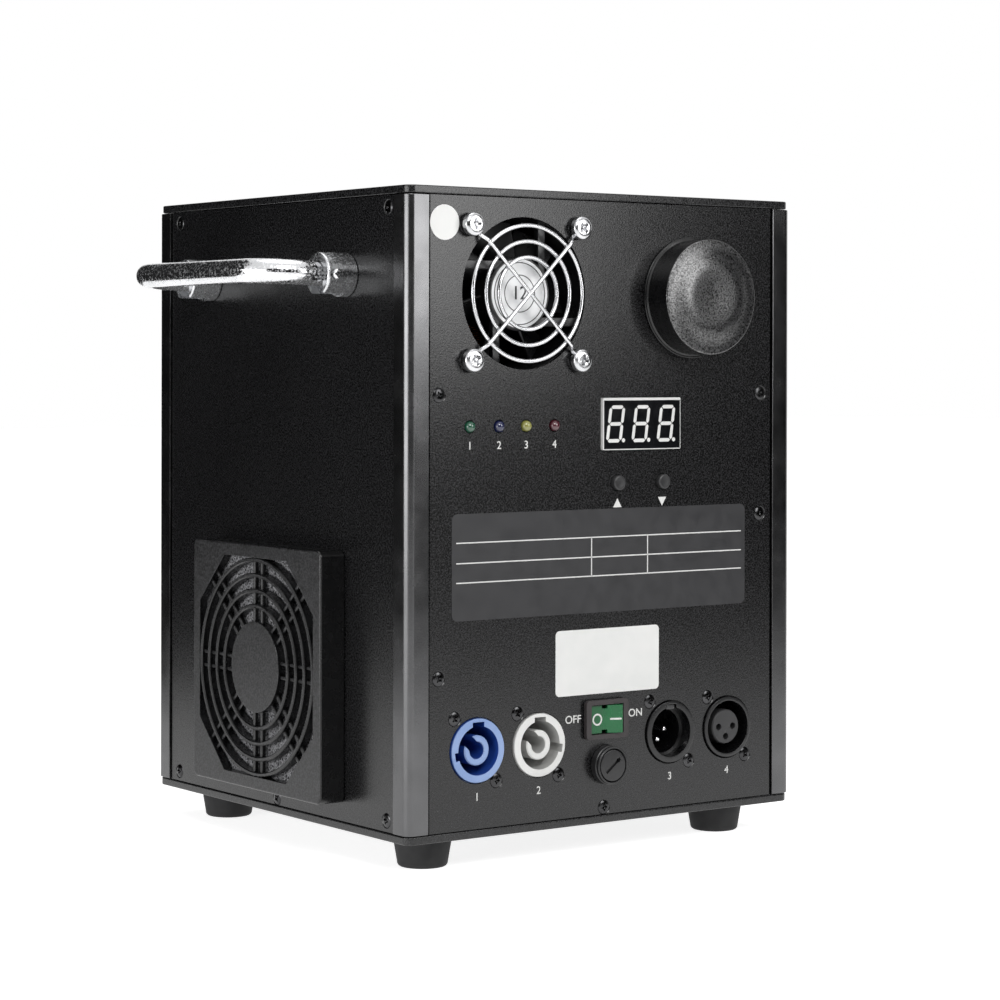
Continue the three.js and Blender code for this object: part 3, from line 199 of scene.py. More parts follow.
def merge(name, *pieces):
    select(*pieces)
    bpy.ops.object.join()
    pieces[0].name = name
    return pieces[0]


def copyOf(piece, name):
    other = piece.copy()
    other.data = piece.data.copy()
    other.name = name
    bpy.context.scene.collection.objects.link(other)
    return other


def turnAndMove(piece, turn=0.0, x=0.0, y=0.0, z=0.0):
    piece.data.transform(Matrix.Translation((x * mm, y * mm, z * mm))
                         @ Matrix.Rotation(turn, 4, "Z"))
    return piece


def quarterTurn(steps):
    # the cosine and sine at even steps of a quarter turn, without its start
    angles = [i / steps * math.pi / 2 for i in range(1, steps + 1)]
    return [(math.cos(angle), math.sin(angle)) for angle in angles]


def roundedBox(width, height, radius, steps=8):
    # the outline of a rounded rectangle, anticlockwise
    points = []
    for turn, (signX, signY) in enumerate(((1, 1), (-1, 1), (-1, -1), (1, -1))):
        for i in range(steps + 1):
            angle = (turn + i / steps) * math.pi / 2
            points.append((signX * (width / 2 - radius) + radius * math.cos(angle),
                           signY * (height / 2 - radius) + radius * math.sin(angle)))
    return points


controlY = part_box("control_panel")[0].y
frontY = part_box("front_panel")[1].y
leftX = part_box("left_side_panel")[0].x
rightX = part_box("right_side_panel")[1].x
middleY = (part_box("left_side_panel")[0].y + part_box("left_side_panel")[1].y) / 2

# each face of the case: its right and up as seen from outside, its normal and a point on it
faces = {
    "control": ((1, 0, 0), (0, 0, 1), (0, -1, 0), (0, controlY, 0)),
    "front": ((-1, 0, 0), (0, 0, 1), (0, 1, 0), (0, frontY, 0)),
    "left": ((0, -1, 0), (0, 0, 1), (-1, 0, 0), (leftX, middleY, 0)),
    "right": ((0, 1, 0), (0, 0, 1), (1, 0, 0), (rightX, middleY, 0)),
    "floor": ((1, 0, 0), (0, 1, 0), (0, 0, 1), (0, middleY, 0)),
}


def onFace(face, across=0.0, up=0.0, out=0.0):
    right, top, normal, start = (Vector(v) for v in faces[face])
    place = Matrix((right, top, normal)).transposed().to_4x4()
    place.translation = start + right * across * mm + top * up * mm + normal * out * mm
    return place


def spotOf(s, out=0.0, face="control"):
    # where a piece's own settings put it on its face of the case
    return onFace(face, s["across"], s["up"], out)


def finishPiece(piece, material, place, body="case", replaced=(), smooth=32):
    # puts the mesh in place in the row frame, gives it its finish and ties it to its body
    piece.data.transform(place)
    select(piece)
    bpy.ops.object.transform_apply(location=True, rotation=True, scale=True)
    if smooth:
        bpy.ops.object.shade_smooth_by_angle(angle=math.radians(smooth))
        apply(piece, "WEIGHTED_NORMAL", keep_sharp=True, weight=100)
    piece.data.materials.clear()
    piece.data.materials.append(material)
    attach(piece, body)
    if replaced:
        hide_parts(*replaced)


def finishWalls(piece, material, face, limit, low=-100.0):
    # gives the walls, which are all that doesn't look straight out of the case or lies low, in mm
    # from the panel, their own darker finish: painted shade on the walls
    out, start = Vector(faces[face][2]), Vector(faces[face][3])
    piece.data.materials.append(material)
    for polygon in piece.data.polygons:
        if polygon.normal.dot(out) < limit or (polygon.center - start).dot(out) < low * mm:
            polygon.material_index = 1


printSettings = {
    "out": 0.02,
    "thick": 0.06,
    "capShare": 0.7,    # the height of a capital, of the letter size
    "fatten": 0.04,
}


def makeText(name, words, height, place, material, stretch=1.0):
    # plain lettering as a thin layer of ink
    bpy.ops.object.select_all(action="DESELECT")
    bpy.ops.object.text_add(location=(0, 0, 0))
    piece = bpy.context.object
    piece.name = name
    piece.data.body = words
    piece.data.size = height * mm / printSettings["capShare"]
    piece.data.align_x = "CENTER"
    piece.data.align_y = "CENTER"
    piece.data.extrude = printSettings["thick"] / 2 * mm
    piece.data.offset = printSettings["fatten"] * mm
    piece.scale = (stretch, 1, 1)
    bpy.ops.object.convert(target="MESH")
    piece = bpy.context.object
    bpy.ops.object.transform_apply(location=True, rotation=True, scale=True)
    lift = printSettings["out"] + printSettings["thick"] / 2
    piece.data.transform(Matrix.Translation((0, 0, lift * mm)))
    finishPiece(piece, material, place, smooth=0)


# materials

def colour(code):
    # sRGB hex to linear
    levels = []
    for i in (1, 3, 5):
        value = int(code[i:i + 2], 16) / 255
        levels.append(value / 12.92 if value <= 0.04045 else ((value + 0.055) / 1.055) ** 2.4)
    return (*levels, 1.0)


def addNode(tree, kind, settings=None, inputs=None):
    node = tree.nodes.new(kind)
    for key, value in (settings or {}).items():
        setattr(node, key, value)
    for key, value in (inputs or {}).items():
        socket = node.inputs[key]
        if isinstance(value, bpy.types.NodeSocket):
            tree.links.new(value, socket)
        else:
            socket.default_value = value
    return node


def startMaterial(name, **sockets):
    material = bpy.data.materials.new(name)
    material.use_nodes = True
    tree = material.node_tree
    shader = tree.nodes["Principled BSDF"]
    for key, value in sockets.items():
        shader.inputs[key.replace("_", " ")].default_value = value
    place = addNode(tree, "ShaderNodeTexCoord").outputs["Object"]
    return material, tree, shader, place


def perMm(size):
    # the scale at which a noise has features of that size in mm
    return 1000 / size


def noiseOf(tree, place, size, detail=2.0, stretch=None):
    # a noise with features of that size in mm
    if stretch:
        place = addNode(tree, "ShaderNodeMapping", None,
                        {"Vector": place, "Scale": stretch}).outputs["Vector"]
    return addNode(tree, "ShaderNodeTexNoise", None,
                   {"Vector": place, "Scale": perMm(size), "Detail": detail}).outputs["Fac"]


def rampOf(tree, value, low, first, high, second):
    # the first colour up to low, the second from high, and a blend between them
    ramp = addNode(tree, "ShaderNodeValToRGB", None, {"Fac": value})
    for end, position, code in zip(ramp.color_ramp.elements, (low, high), (first, second)):
        end.position = position
        end.color = colour(code)
    return ramp.outputs["Color"]


def spanOf(tree, value, fromLow, fromHigh, toLow, toHigh):
    # one range stretched over another, held at its ends
    span = addNode(tree, "ShaderNodeMapRange", None,
                   {"Value": value, "From Min": fromLow, "From Max": fromHigh,
                    "To Min": toLow, "To Max": toHigh})
    return span.outputs["Result"]


def scaledColour(tree, tone, share):
    scaled = addNode(tree, "ShaderNodeVectorMath", {"operation": "SCALE"}, {0: tone, "Scale": share})
    return scaled.outputs["Vector"]


def twoTone(tree, place, first, second, size, detail=2.0, low=0.35, high=0.65):
    # a colour that drifts between two tones over that many mm
    return rampOf(tree, noiseOf(tree, place, size, detail), low, first, high, second)


def roughBetween(tree, place, low, high, size):
    # a roughness that drifts between two values over that many mm
    return spanOf(tree, noiseOf(tree, place, size, 3.0), 0.3, 0.7, low, high)


def bumpOf(tree, height, distance, strength=1.0, below=None):
    # a bump of that many mm, over the bump below it if there is one
    inputs = {"Height": height, "Distance": distance * mm, "Strength": strength}
    if below is not None:
        inputs["Normal"] = below
    return addNode(tree, "ShaderNodeBump", None, inputs).outputs["Normal"]


def dress(tree, shader, base, rough, normal):
    # ties a material's colour, roughness and bump to its shader, leaving out what is None
    for key, value in (("Base Color", base), ("Roughness", rough), ("Normal", normal)):
        if value is not None:
            tree.links.new(value, shader.inputs[key])


speckSettings = {
    "from": (0.38, 0.68),    # the part of the noise that makes the specks
    "brightest": 3.4,        # a speck's brightness, of the coat's tone
    "leastMirror": 0.6,      # how much the coat mirrors between its specks, where it sparkles
}


def makePowderCoat(name, first, second, grain, depth, gloss, sparkle=0.0):
    # textured powder coat, or a moulding grained like it: a fine grain that breaks the sheen into
    # small specks, over a slow drift of tone. The grain is a little coarser than the real one, so
    # that it shows in the picture. With a sparkle the specks mirror more than the rest
    material, tree, shader, place = startMaterial(name)
    tone = twoTone(tree, place, first, second, 60)
    speck = noiseOf(tree, place, grain)
    fleck = spanOf(tree, speck, *speckSettings["from"], 0.0, speckSettings["brightest"])
    mixed = scaledColour(tree, tone, fleck)
    rough = roughBetween(tree, place, gloss - 0.05, gloss + 0.06, grain)
    if sparkle:
        mirror = addNode(tree, "ShaderNodeMath", {"operation": "MULTIPLY_ADD"},
                         {0: fleck, 1: sparkle, 2: speckSettings["leastMirror"]})
        tree.links.new(mirror.outputs["Value"], shader.inputs["Specular IOR Level"])
    dress(tree, shader, mixed, rough, bumpOf(tree, speck, depth))
    return material


def makeAnodised(name, first, second, gloss):
    # black anodised aluminium extrusion: satin metal with faint die lines along its length
    material, tree, shader, place = startMaterial(name, Metallic=1.0)
    tone = twoTone(tree, place, first, second, 22)
    rough = roughBetween(tree, place, gloss - 0.04, gloss + 0.05, 12)
    lines = noiseOf(tree, place, 0.35, 2.0, (1, 1, 0.015))
    drawn = bumpOf(tree, lines, 0.004)
    dress(tree, shader, tone, rough, bumpOf(tree, noiseOf(tree, place, 0.8), 0.01, 1.0, drawn))
    return material


def makePlatedMetal(name, first, second, gloss, ripple=0.004, rippleSize=3.0, speckle=0.0):
    # bright plated metal: mirror gloss with soft smears, a faint ripple from polishing and, with a
    # speckle, the fine satin pits that show as grain where the metal mirrors something dark
    material, tree, shader, place = startMaterial(name, Metallic=1.0)
    tone = twoTone(tree, place, first, second, 14)
    rough = roughBetween(tree, place, gloss * 0.7, gloss * 1.6, 5)
    if speckle:
        pits = spanOf(tree, noiseOf(tree, place, 0.8, 3.0), 0.48, 0.62, 0.0, speckle)
        rough = addNode(tree, "ShaderNodeMath", {"operation": "ADD"},
                        {0: rough, 1: pits}).outputs["Value"]
    dress(tree, shader, tone, rough, bumpOf(tree, noiseOf(tree, place, rippleSize), ripple))
    return material


def makeMouldedPlastic(name, first, second, gloss, grain=0.35, depth=0.012, **sockets):
    # injection-moulded plastic: one even colour with a fine spark-eroded grain and a soft sheen
    material, tree, shader, place = startMaterial(name, **sockets)
    tone = twoTone(tree, place, first, second, 16)
    rough = roughBetween(tree, place, gloss - 0.05, gloss + 0.06, 4)
    dress(tree, shader, tone, rough, bumpOf(tree, noiseOf(tree, place, grain), depth))
    return material


def makeLens(name, first, second):
    # the clear moulded lens of a lamp that is off
    return makeMouldedPlastic(name, first, second, 0.07, 1.5, 0.004, Specular_IOR_Level=1.0)


def makeFoam(name, dark, pale):
    # open-cell polyurethane foam: pale strands round dark cells of 1.3 mm, a little coarser than
    # the real ones, so that they show in the picture. The dark in the cells is painted shade in their
    # hollows
    material, tree, shader, place = startMaterial(name, Roughness=0.95)
    cells = addNode(tree, "ShaderNodeTexVoronoi", {"feature": "DISTANCE_TO_EDGE"},
                    {"Vector": place, "Scale": perMm(1.3)}).outputs["Distance"]
    # the cells' hollows darker than the strands: painted shade
    tone = rampOf(tree, cells, 0.05, pale, 0.3, dark)
    strand = noiseOf(tree, place, 0.7, 3.0)
    mixed = scaledColour(tree, tone, spanOf(tree, strand, 0.35, 0.65, 0.35, 1.45))
    under = bumpOf(tree, cells, -0.6)
    dress(tree, shader, mixed, None, bumpOf(tree, strand, 0.3, 1.0, under))
    return material


def makeInk(name, first, second):
    # screen-printed ink: flat and matt, a little thin in places so the coat shows through
    material, tree, shader, place = startMaterial(name, Roughness=0.6)
    tone = twoTone(tree, place, first, second, 0.8, 3.0, 0.25, 0.5)
    dress(tree, shader, tone, None, bumpOf(tree, noiseOf(tree, place, 0.5), 0.01))
    return material


def makeVinyl(name, first, second, gloss):
    # printed vinyl film: smooth with slow ripples where it was pressed on
    material, tree, shader, place = startMaterial(name)
    tone = twoTone(tree, place, first, second, 12)
    rough = roughBetween(tree, place, gloss - 0.05, gloss + 0.08, 6)
    dress(tree, shader, tone, rough, bumpOf(tree, noiseOf(tree, place, 7), 0.05))
    return material


def makeWinding(name, first, second):
    # enamelled copper wire laid turn by turn round the spark tube: a ridge every 1.2 mm
    material, tree, shader, place = startMaterial(name, Metallic=1.0, Roughness=0.35)
    turns = addNode(tree, "ShaderNodeTexWave", {"bands_direction": "Z", "wave_profile": "SIN"},
                    {"Vector": place, "Scale": 1000 / 1.2 / 6.2832 * 2})
    tone = twoTone(tree, place, first, second, 6)
    dress(tree, shader, tone, None, bumpOf(tree, turns.outputs["Fac"], 0.4))
    return material


def makeCircuitBoard(name, mask, track):
    # fibreglass laminate under green solder mask, with tracks a shade lighter
    material, tree, shader, place = startMaterial(name, Roughness=0.35)
    lines = addNode(tree, "ShaderNodeTexBrick", {"offset": 0.35},
                    {"Vector": place, "Scale": 120.0, "Mortar Size": 0.03,
                     "Color1": colour(mask), "Color2": colour(mask), "Mortar": colour(track)})
    dress(tree, shader, lines.outputs["Color"], None, bumpOf(tree, lines.outputs["Fac"], 0.05))
    return material


finishes = {
    "casePaint": makePowderCoat("powder_coated_steel", "#0e0e0f", "#111112", 0.65, 0.035, 0.26),
    "platePaint": makePowderCoat("powder_coated_plate", "#131314", "#161617", 0.65, 0.035, 0.28),
    "post": makeAnodised("black_anodised_aluminium", "#5c5c5d", "#646465", 0.24),
    "rubber": makeMouldedPlastic("moulded_rubber", "#1c1c1d", "#262627", 0.7, 0.6, 0.03),
    "chrome": makePlatedMetal("chromed_steel", "#d4d5d7", "#e6e6e8", 0.07, 0.015, 0.9, 0.35),
    "seatChrome": makePlatedMetal("satin_chromed_steel", "#bcbdbf", "#d6d7d9", 0.2, 0.03, 0.9, 0.2),
    "wire": makePlatedMetal("nickel_plated_wire", "#bfc0c2", "#d3d3d5", 0.2),
    "blackScrew": makePlatedMetal("black_oxide_screw", "#39393a", "#4b4b4c", 0.18, 0.02, 0.5),
    "fanPlastic": makeMouldedPlastic("glass_filled_nylon", "#111112", "#18181a", 0.3),
    "filterPlastic": makePowderCoat("matt_abs", "#1e1e1f", "#212122", 0.7, 0.04, 0.42),
    # a darker black for walls than the faces beside them: painted shade
    "smoothShadedPlastic": makeMouldedPlastic("polished_abs_painted_shade", "#0b0b0c", "#0f0f10", 0.26, 0.9, 0.01),
    "foam": makeFoam("filter_foam_cells", "#1e1e21", "#98989b"),
    "capPlastic": makePowderCoat("grained_abs", "#0e0e0f", "#121213", 0.6, 0.05, 0.3, 0.42),
    "displayBody": makeMouldedPlastic("white_abs", "#dcdddb", "#e8e8e6", 0.35),
    "displayFace": makeMouldedPlastic("smoked_acrylic", "#0f1012", "#131417", 0.14, 2.0, 0.004),
    "segment": makeMouldedPlastic("milky_epoxy", "#dededc", "#ebebe9", 0.35),
    "buttonPlastic": makeMouldedPlastic("black_abs", "#2b2b2c", "#353536", 0.35),
    "greenLamp": makeLens("green_lens", "#154a35", "#1c5a42"),
    "blueLamp": makeLens("blue_lens", "#0e1744", "#141f56"),
    "yellowLamp": makeLens("yellow_lens", "#85843f", "#99984e"),
    "redLamp": makeLens("red_lens", "#430c1a", "#561223"),
    "switchPlastic": makeMouldedPlastic("switch_bezel_nylon", "#2c2829", "#373233", 0.45, 0.5, 0.02),
    "rockerPlastic": makeMouldedPlastic("green_polycarbonate", "#08502a", "#0f6537", 0.25, 1.2, 0.008),
    "fusePlastic": makeMouldedPlastic("black_bakelite", "#1f1f20", "#29292a", 0.36, 0.45, 0.02),
    # the pale blue of the front faces is partly the nylon's colour and partly painted sheen
    "blueNylon": makeMouldedPlastic("blue_nylon", "#8ba5d6", "#9ab2df", 0.4),
    # a darker blue for the walls of the blue socket's bore: painted shade
    "shadedBlueNylon": makeMouldedPlastic("blue_nylon_painted_shade", "#1d3f8e", "#26499c", 0.35),
    "whiteNylon": makeMouldedPlastic("white_nylon", "#e6e6e4", "#efefed", 0.42),
    # a grey white for the walls of the white socket's bore: painted shade
    "shadedNylon": makeMouldedPlastic("white_nylon_painted_shade", "#b4b4b2", "#c3c3c1", 0.42),
    "blackNylon": makeMouldedPlastic("black_nylon", "#131314", "#1b1b1c", 0.3),
    "greyInsert": makeMouldedPlastic("grey_nylon", "#2c2c2d", "#373738", 0.45),
    "contact": makePlatedMetal("silver_plated_contact", "#d6d6d8", "#e6e6e8", 0.14),
    "ink": makeInk("white_screen_ink", "#d2d2d0", "#e4e4e2"),
    "plateVinyl": makeVinyl("grey_vinyl", "#2a2a2c", "#2e2e30", 0.42),
    "whiteVinyl": makeVinyl("white_vinyl", "#eaebe9", "#f0f0ee", 0.4),
    "silverVinyl": makeVinyl("silvered_vinyl", "#f0f1f2", "#f7f7f8", 0.3),
    "darkInk": makeInk("black_screen_ink", "#242426", "#38383a"),
    "innerSteel": makePlatedMetal("drawn_steel", "#8f9193", "#a5a7a9", 0.3, 0.01, 1.0),
    "nozzle": makePlatedMetal("turned_steel", "#9b9c9e", "#b2b3b5", 0.22, 0.006, 0.8),
    "copper": makeWinding("enamelled_copper", "#8d4a26", "#b0683c"),
    "brass": makePlatedMetal("brass_and_glass", "#a08a52", "#c2ab70", 0.2),
    "board": makeCircuitBoard("green_circuit_board", "#1a5234", "#2f7a50"),
}
print("materials made")


# case: plates, posts and panels

caseSettings = {
    "width": 185.0,
    "depth": 185.0,
    "plate": 3.0,
    "inset": 0.4,
    "corner": 3.4,
    "footHeight": 12.0,
    "roof": 249.0,
    "mouth": 25.3,
    "edge": 0.45,
    "panelThickness": 1.5,
    "panelBottom": 15.3,
    "panelTop": 248.7,
    "panelWidth": 164.4,
}


def makePlates(s):
    width = s["width"] - 2 * s["inset"]
    depth = s["depth"] - 2 * s["inset"]
    outline = roundedBox(width, depth, s["corner"], 12)
    base = prism("base_plate_sheet", outline, s["footHeight"], s["footHeight"] + s["plate"])
    soften(base, s["edge"], 3)
    finishPiece(base, finishes["platePaint"], onFace("floor"), replaced=["base_plate"])
    top = prism("top_plate_sheet", outline, s["roof"], s["roof"] + s["plate"])
    carve(top, rod("mouth", s["mouth"], s["roof"] - 1, s["roof"] + s["plate"] + 1, sides=96))
    soften(top, s["edge"], 3)
    finishPiece(top, finishes["platePaint"], onFace("floor"), replaced=["top_plate"])


postSettings = {
    "radius": 3.2,
    "face": 9.5,        # width of the face beside each panel, short of the panel by a gap
    "flange": 18.0,
    "rebate": 2.6,
    "flangeBack": 4.6,
    "channel": 1.6,
    "edge": 0.35,
}


def makePosts(s, case):
    outline = []
    for i in range(13):
        angle = math.pi + i / 12 * math.pi / 2
        outline.append((s["radius"] + s["radius"] * math.cos(angle),
                        s["radius"] + s["radius"] * math.sin(angle)))
    outline += [(s["face"], 0), (s["face"], s["rebate"]), (s["flange"], s["rebate"]),
                (s["flange"], s["flangeBack"]), (10, s["flangeBack"]), (10, 10),
                (s["flangeBack"], 10), (s["flangeBack"], s["flange"]), (s["rebate"], s["flange"]),
                (s["rebate"], s["face"]), (0, s["face"])]
    post = prism("post", outline, case["panelBottom"], case["panelTop"])
    carve(post, rod("channel", s["channel"], 0, 260, 6, 6, 16))
    soften(post, s["edge"], 2)
    names = ["control_left_post", "control_right_post", "front_left_post", "front_right_post"]
    for i, name in enumerate(names):
        copy = copyOf(post, name + "_extrusion")
        turn = Matrix.Rotation(i * math.pi / 2, 4, "Z")
        corner = Matrix.Translation((-case["width"] / 2 * mm, -case["depth"] / 2 * mm, 0))
        place = Matrix.Translation((0, middleY, 0)) @ turn @ corner
        finishPiece(copy, finishes["post"], place, replaced=[name])
    bpy.data.objects.remove(post)


screwSettings = {
    "radius": 2.65,
    "gap": 0.35,
    "thread": 1.4,
    "dome": 0.3,
    "sink": 0.9,
    "recess": 1.45,
    "slot": 0.6,
    "dimple": 1.0,
    "dimpleDepth": 0.5,
}


def countersinks(places, s):
    # cones that open a panel for flush screws
    mouth = s["radius"] + s["gap"]
    profile = [(0, -1.7), (s["thread"], -1.7), (s["thread"], -1.2), (mouth, 0.02), (mouth, 1), (0, 1)]
    return [turnAndMove(turned("cone", profile, 32), 0, x, y) for x, y in places]


def makeFlushScrew(name, s):
    # a countersunk head, slightly domed, with a cross recess that opens into a round dimple
    thread, radius = s["thread"] - 0.1, s["radius"]
    profile = [(0, -1.6), (thread, -1.6), (thread, -1.2), (radius, -0.35), (radius - 0.05, -0.15),
               (radius - 0.3, 0.0), (radius * 0.7, s["dome"] * 0.55), (radius * 0.4, s["dome"] * 0.85),
               (0, s["dome"])]
    head = turned(name, profile, 40)
    cross = bar("cross", -s["recess"], s["recess"], -s["slot"] / 2, s["slot"] / 2, -s["sink"], 1)
    other = bar("cross", -s["slot"] / 2, s["slot"] / 2, -s["recess"], s["recess"], -s["sink"], 1)
    deep = s["dimpleDepth"] + s["dome"]
    dimple = [(s["dimple"] * sine, s["dome"] - deep * cosine) for cosine, sine in quarterTurn(5)]
    pit = turned("pit", [(0, -s["dimpleDepth"]), *dimple, (s["dimple"], 1), (0, 1)], 24)
    carve(head, cross, other, pit)
    return head


controlScrews = [(-78.1, 175.4), (77.1, 175.4), (76.8, 127.6), (-78.1, 71.7), (-1.4, 17.9)]
socketScrews = [(-70.9, 56.6), (-52.0, 32.5), (-42.2, 56.5), (-23.1, 32.2),
                (21.1, 56.6), (40.5, 32.4), (50.2, 56.3), (69.3, 32.5)]
sideScrews = [(-75.9, 244.2), (78.3, 244.2), (-75.8, 19.2), (1.0, 17.9), (77.7, 19.5)]
frontScrews = [(-77.5, 243.0), (77.5, 243.0), (-77.5, 130.0), (77.5, 130.0),
               (-77.5, 20.0), (77.5, 20.0)]

panelHoles = {
    "fan": (-39.5, 213.2, 28.5),
    "filler": (40.9, 212.8, 18.3),
    "fuse": (-0.4, 34.2, 6.5),
    "sockets": [(-60.9, 44.3), (-32.5, 44.1), (30.9, 44.2), (59.8, 44.0)],
    "socketRadius": 12.4,
    "lamps": [(-64.4, 163.7), (-51.1, 163.7), (-38.6, 163.7), (-25.4, 163.7)],
    "lampRadius": 2.5,
    "buttons": [(4.8, 141.5), (26.8, 141.5)],
    "buttonRadius": 3.15,
    "display": (16.0, 164.0, 38.8, 20.6),
    "rocker": (-1.2, 51.65, 19.2, 14.0),
    "intake": (2.2, 69.6, 44),
}


def makePanels(s, holes):
    low, high, thickness = s["panelBottom"], s["panelTop"], s["panelThickness"]
    half = s["panelWidth"] / 2
    sheet = [(-half, low), (half, low), (half, high), (-half, high)]

    def disc(x, y, radius, sides=64):
        return rod("hole", radius, -thickness - 1, 1, x, y, sides)

    def slot(x, y, width, height):
        return bar("hole", x - width / 2, x + width / 2, y - height / 2, y + height / 2,
                   -thickness - 1, 1)

    control = prism("control_panel_sheet", sheet, -thickness, 0)
    cutters = [disc(*holes["fan"], 128), disc(*holes["filler"]), disc(*holes["fuse"])]
    cutters += [disc(x, y, holes["socketRadius"]) for x, y in holes["sockets"]]
    cutters += [disc(x, y, holes["lampRadius"], 32) for x, y in holes["lamps"]]
    cutters += [disc(x, y, holes["buttonRadius"], 32) for x, y in holes["buttons"]]
    cutters += [slot(*holes["display"]), slot(*holes["rocker"])]
    cones = countersinks(controlScrews + socketScrews, screwSettings)
    carve(control, merge("holes", *cutters), merge("cones", *cones))
    soften(control, 0.2, 2, 50)
    finishPiece(control, finishes["casePaint"], onFace("control"),
                replaced=["control_panel"], smooth=25)

    for face, node, places in (("left", "left_side_panel", sideScrews),
                               ("right", "right_side_panel", sideScrews),
                               ("front", "front_panel", frontScrews)):
        panel = prism(node + "_sheet", sheet, -thickness, 0)
        cutters = countersinks(places, screwSettings)
        if face == "left":
            cutters.append(disc(*holes["intake"], 96))
        carve(panel, merge("holes", *cutters))
        soften(panel, 0.2, 2, 50)
        finishPiece(panel, finishes["casePaint"], onFace(face), replaced=[node],
                    smooth=25)


def makePanelScrews(s):
    head = makeFlushScrew("flush_screw", s)
    places = [("control", x, y) for x, y in controlScrews + socketScrews]
    places += [(face, x, y) for face in ("left", "right") for x, y in sideScrews]
    places += [("front", x, y) for x, y in frontScrews]
    for i, (face, x, y) in enumerate(places):
        screw = copyOf(head, f"{face}_panel_screw_{i + 1}")
        turnAndMove(screw, 0.4 + 0.7 * i)
        finishPiece(screw, finishes["blackScrew"], onFace(face, x, y))
    bpy.data.objects.remove(head)


makePlates(caseSettings)
makePosts(postSettings, caseSettings)
makePanels(caseSettings, panelHoles)
makePanelScrews(screwSettings)
print("case made")


# feet

footSettings = {
    "place": 71.0,
    "top": 11.7,
    "topRadius": 11.3,
    "bottomRadius": 9.5,
    "round": 1.5,
    "bore": 5.0,
    "web": 4.0,
    "screwBore": 2.4,
    "screw": [(0, 2.6), (3.2, 2.6), (4.2, 3.3), (4.4, 5.4), (2.2, 5.4), (2.2, 11.6), (0, 11.6)],
}


def makeFeet(s):
    top = s["top"]
    profile = [(s["bore"], 0), (s["bottomRadius"] - s["round"], 0)]
    profile += [(s["bottomRadius"] - s["round"] + s["round"] * sine, s["round"] - s["round"] * cosine)
                for cosine, sine in quarterTurn(4)]
    profile += [(s["topRadius"] - 0.2, top - 0.8), (s["topRadius"] - 0.5, top), (s["screwBore"], top),
                (s["screwBore"], top - s["web"]), (s["bore"], top - s["web"])]
    foot = turned("foot", profile, 64)
    screw = turned("foot_screw", s["screw"], 32)
    carve(screw, bar("cross", -2, 2, -0.5, 0.5, 1, 4), bar("cross", -0.5, 0.5, -2, 2, 1, 4))
    names = ["control_left_foot", "control_right_foot", "front_left_foot", "front_right_foot"]
    for name, x, y in zip(names, (-1, 1, 1, -1), (-1, -1, 1, 1)):
        place = onFace("floor", x * s["place"], y * s["place"])
        finishPiece(copyOf(foot, name + "_rubber"), finishes["rubber"], place,
                    replaced=[name])
        finishPiece(copyOf(screw, name + "_screw"), finishes["wire"], place)
    bpy.data.objects.remove(foot)
    bpy.data.objects.remove(screw)


makeFeet(footSettings)
print("feet made")


# handles: a bail on two slotted seats at each side

handleSettings = {
    "spread": 100.0,
    "height": 220.08,
    "reach": 35.3,
    "rod": 4.65,
    "bend": 15.0,
    "tilt": 2.5,
    "seatRadius": 8.25,
    "seatLength": 12.7,
    "seatEdge": 0.9,
    "pinDepth": 8.9,
    "pin": 2.0,
    "ear": 4.0,
}


def makeBail(name, s):
    # the pin axis is x and z points away from the case
    half = s["spread"] / 2
    reach = s["reach"] - s["pinDepth"]
    straight = reach - s["bend"]
    piece = addPiece(name, bpy.ops.mesh.primitive_circle_add, vertices=40, radius=s["rod"] * mm,
                     fill_type="NOTHING", location=(-half * mm, 0, 0))
    bpy.ops.object.mode_set(mode="EDIT")
    bpy.ops.mesh.select_all(action="SELECT")
    bpy.ops.mesh.extrude_region_move(TRANSFORM_OT_translate={"value": (0, 0, straight * mm)})
    bpy.ops.mesh.spin(steps=14, angle=math.pi / 2, axis=(0, -1, 0),
                      center=((-half + s["bend"]) * mm, 0, straight * mm))
    bpy.ops.mesh.extrude_region_move(
        TRANSFORM_OT_translate={"value": ((s["spread"] - 2 * s["bend"]) * mm, 0, 0)})
    bpy.ops.mesh.spin(steps=14, angle=math.pi / 2, axis=(0, -1, 0),
                      center=((half - s["bend"]) * mm, 0, straight * mm))
    bpy.ops.mesh.extrude_region_move(TRANSFORM_OT_translate={"value": (0, 0, -straight * mm)})
    bpy.ops.mesh.select_all(action="SELECT")
    bpy.ops.mesh.fill_holes(sides=0)
    bpy.ops.object.mode_set(mode="OBJECT")
    tidyNormals(piece)
    tongue = s["ear"] - 0.15
    for x in (-half, half):
        # a hair thinner than the rod, so that the two surfaces don't coincide
        knuckle = addPiece("knuckle", bpy.ops.mesh.primitive_uv_sphere_add, segments=40, ring_count=20,
                           radius=s["rod"] * mm * 0.999, location=(x * mm, 0, 0))
        carve(piece, knuckle, operation="UNION")
    for x in (-half, half):
        for side in (-1, 1):
            flat = x + side * (tongue + s["rod"])
            carve(piece, bar("flat", flat - s["rod"], flat + s["rod"], -9, 9, -9,
                             s["seatRadius"] + 0.5))
        carve(piece, rod("pin_hole", s["pin"] + 0.1, x - 8, x + 8, 0, 0, 32, along="X"))
    return piece


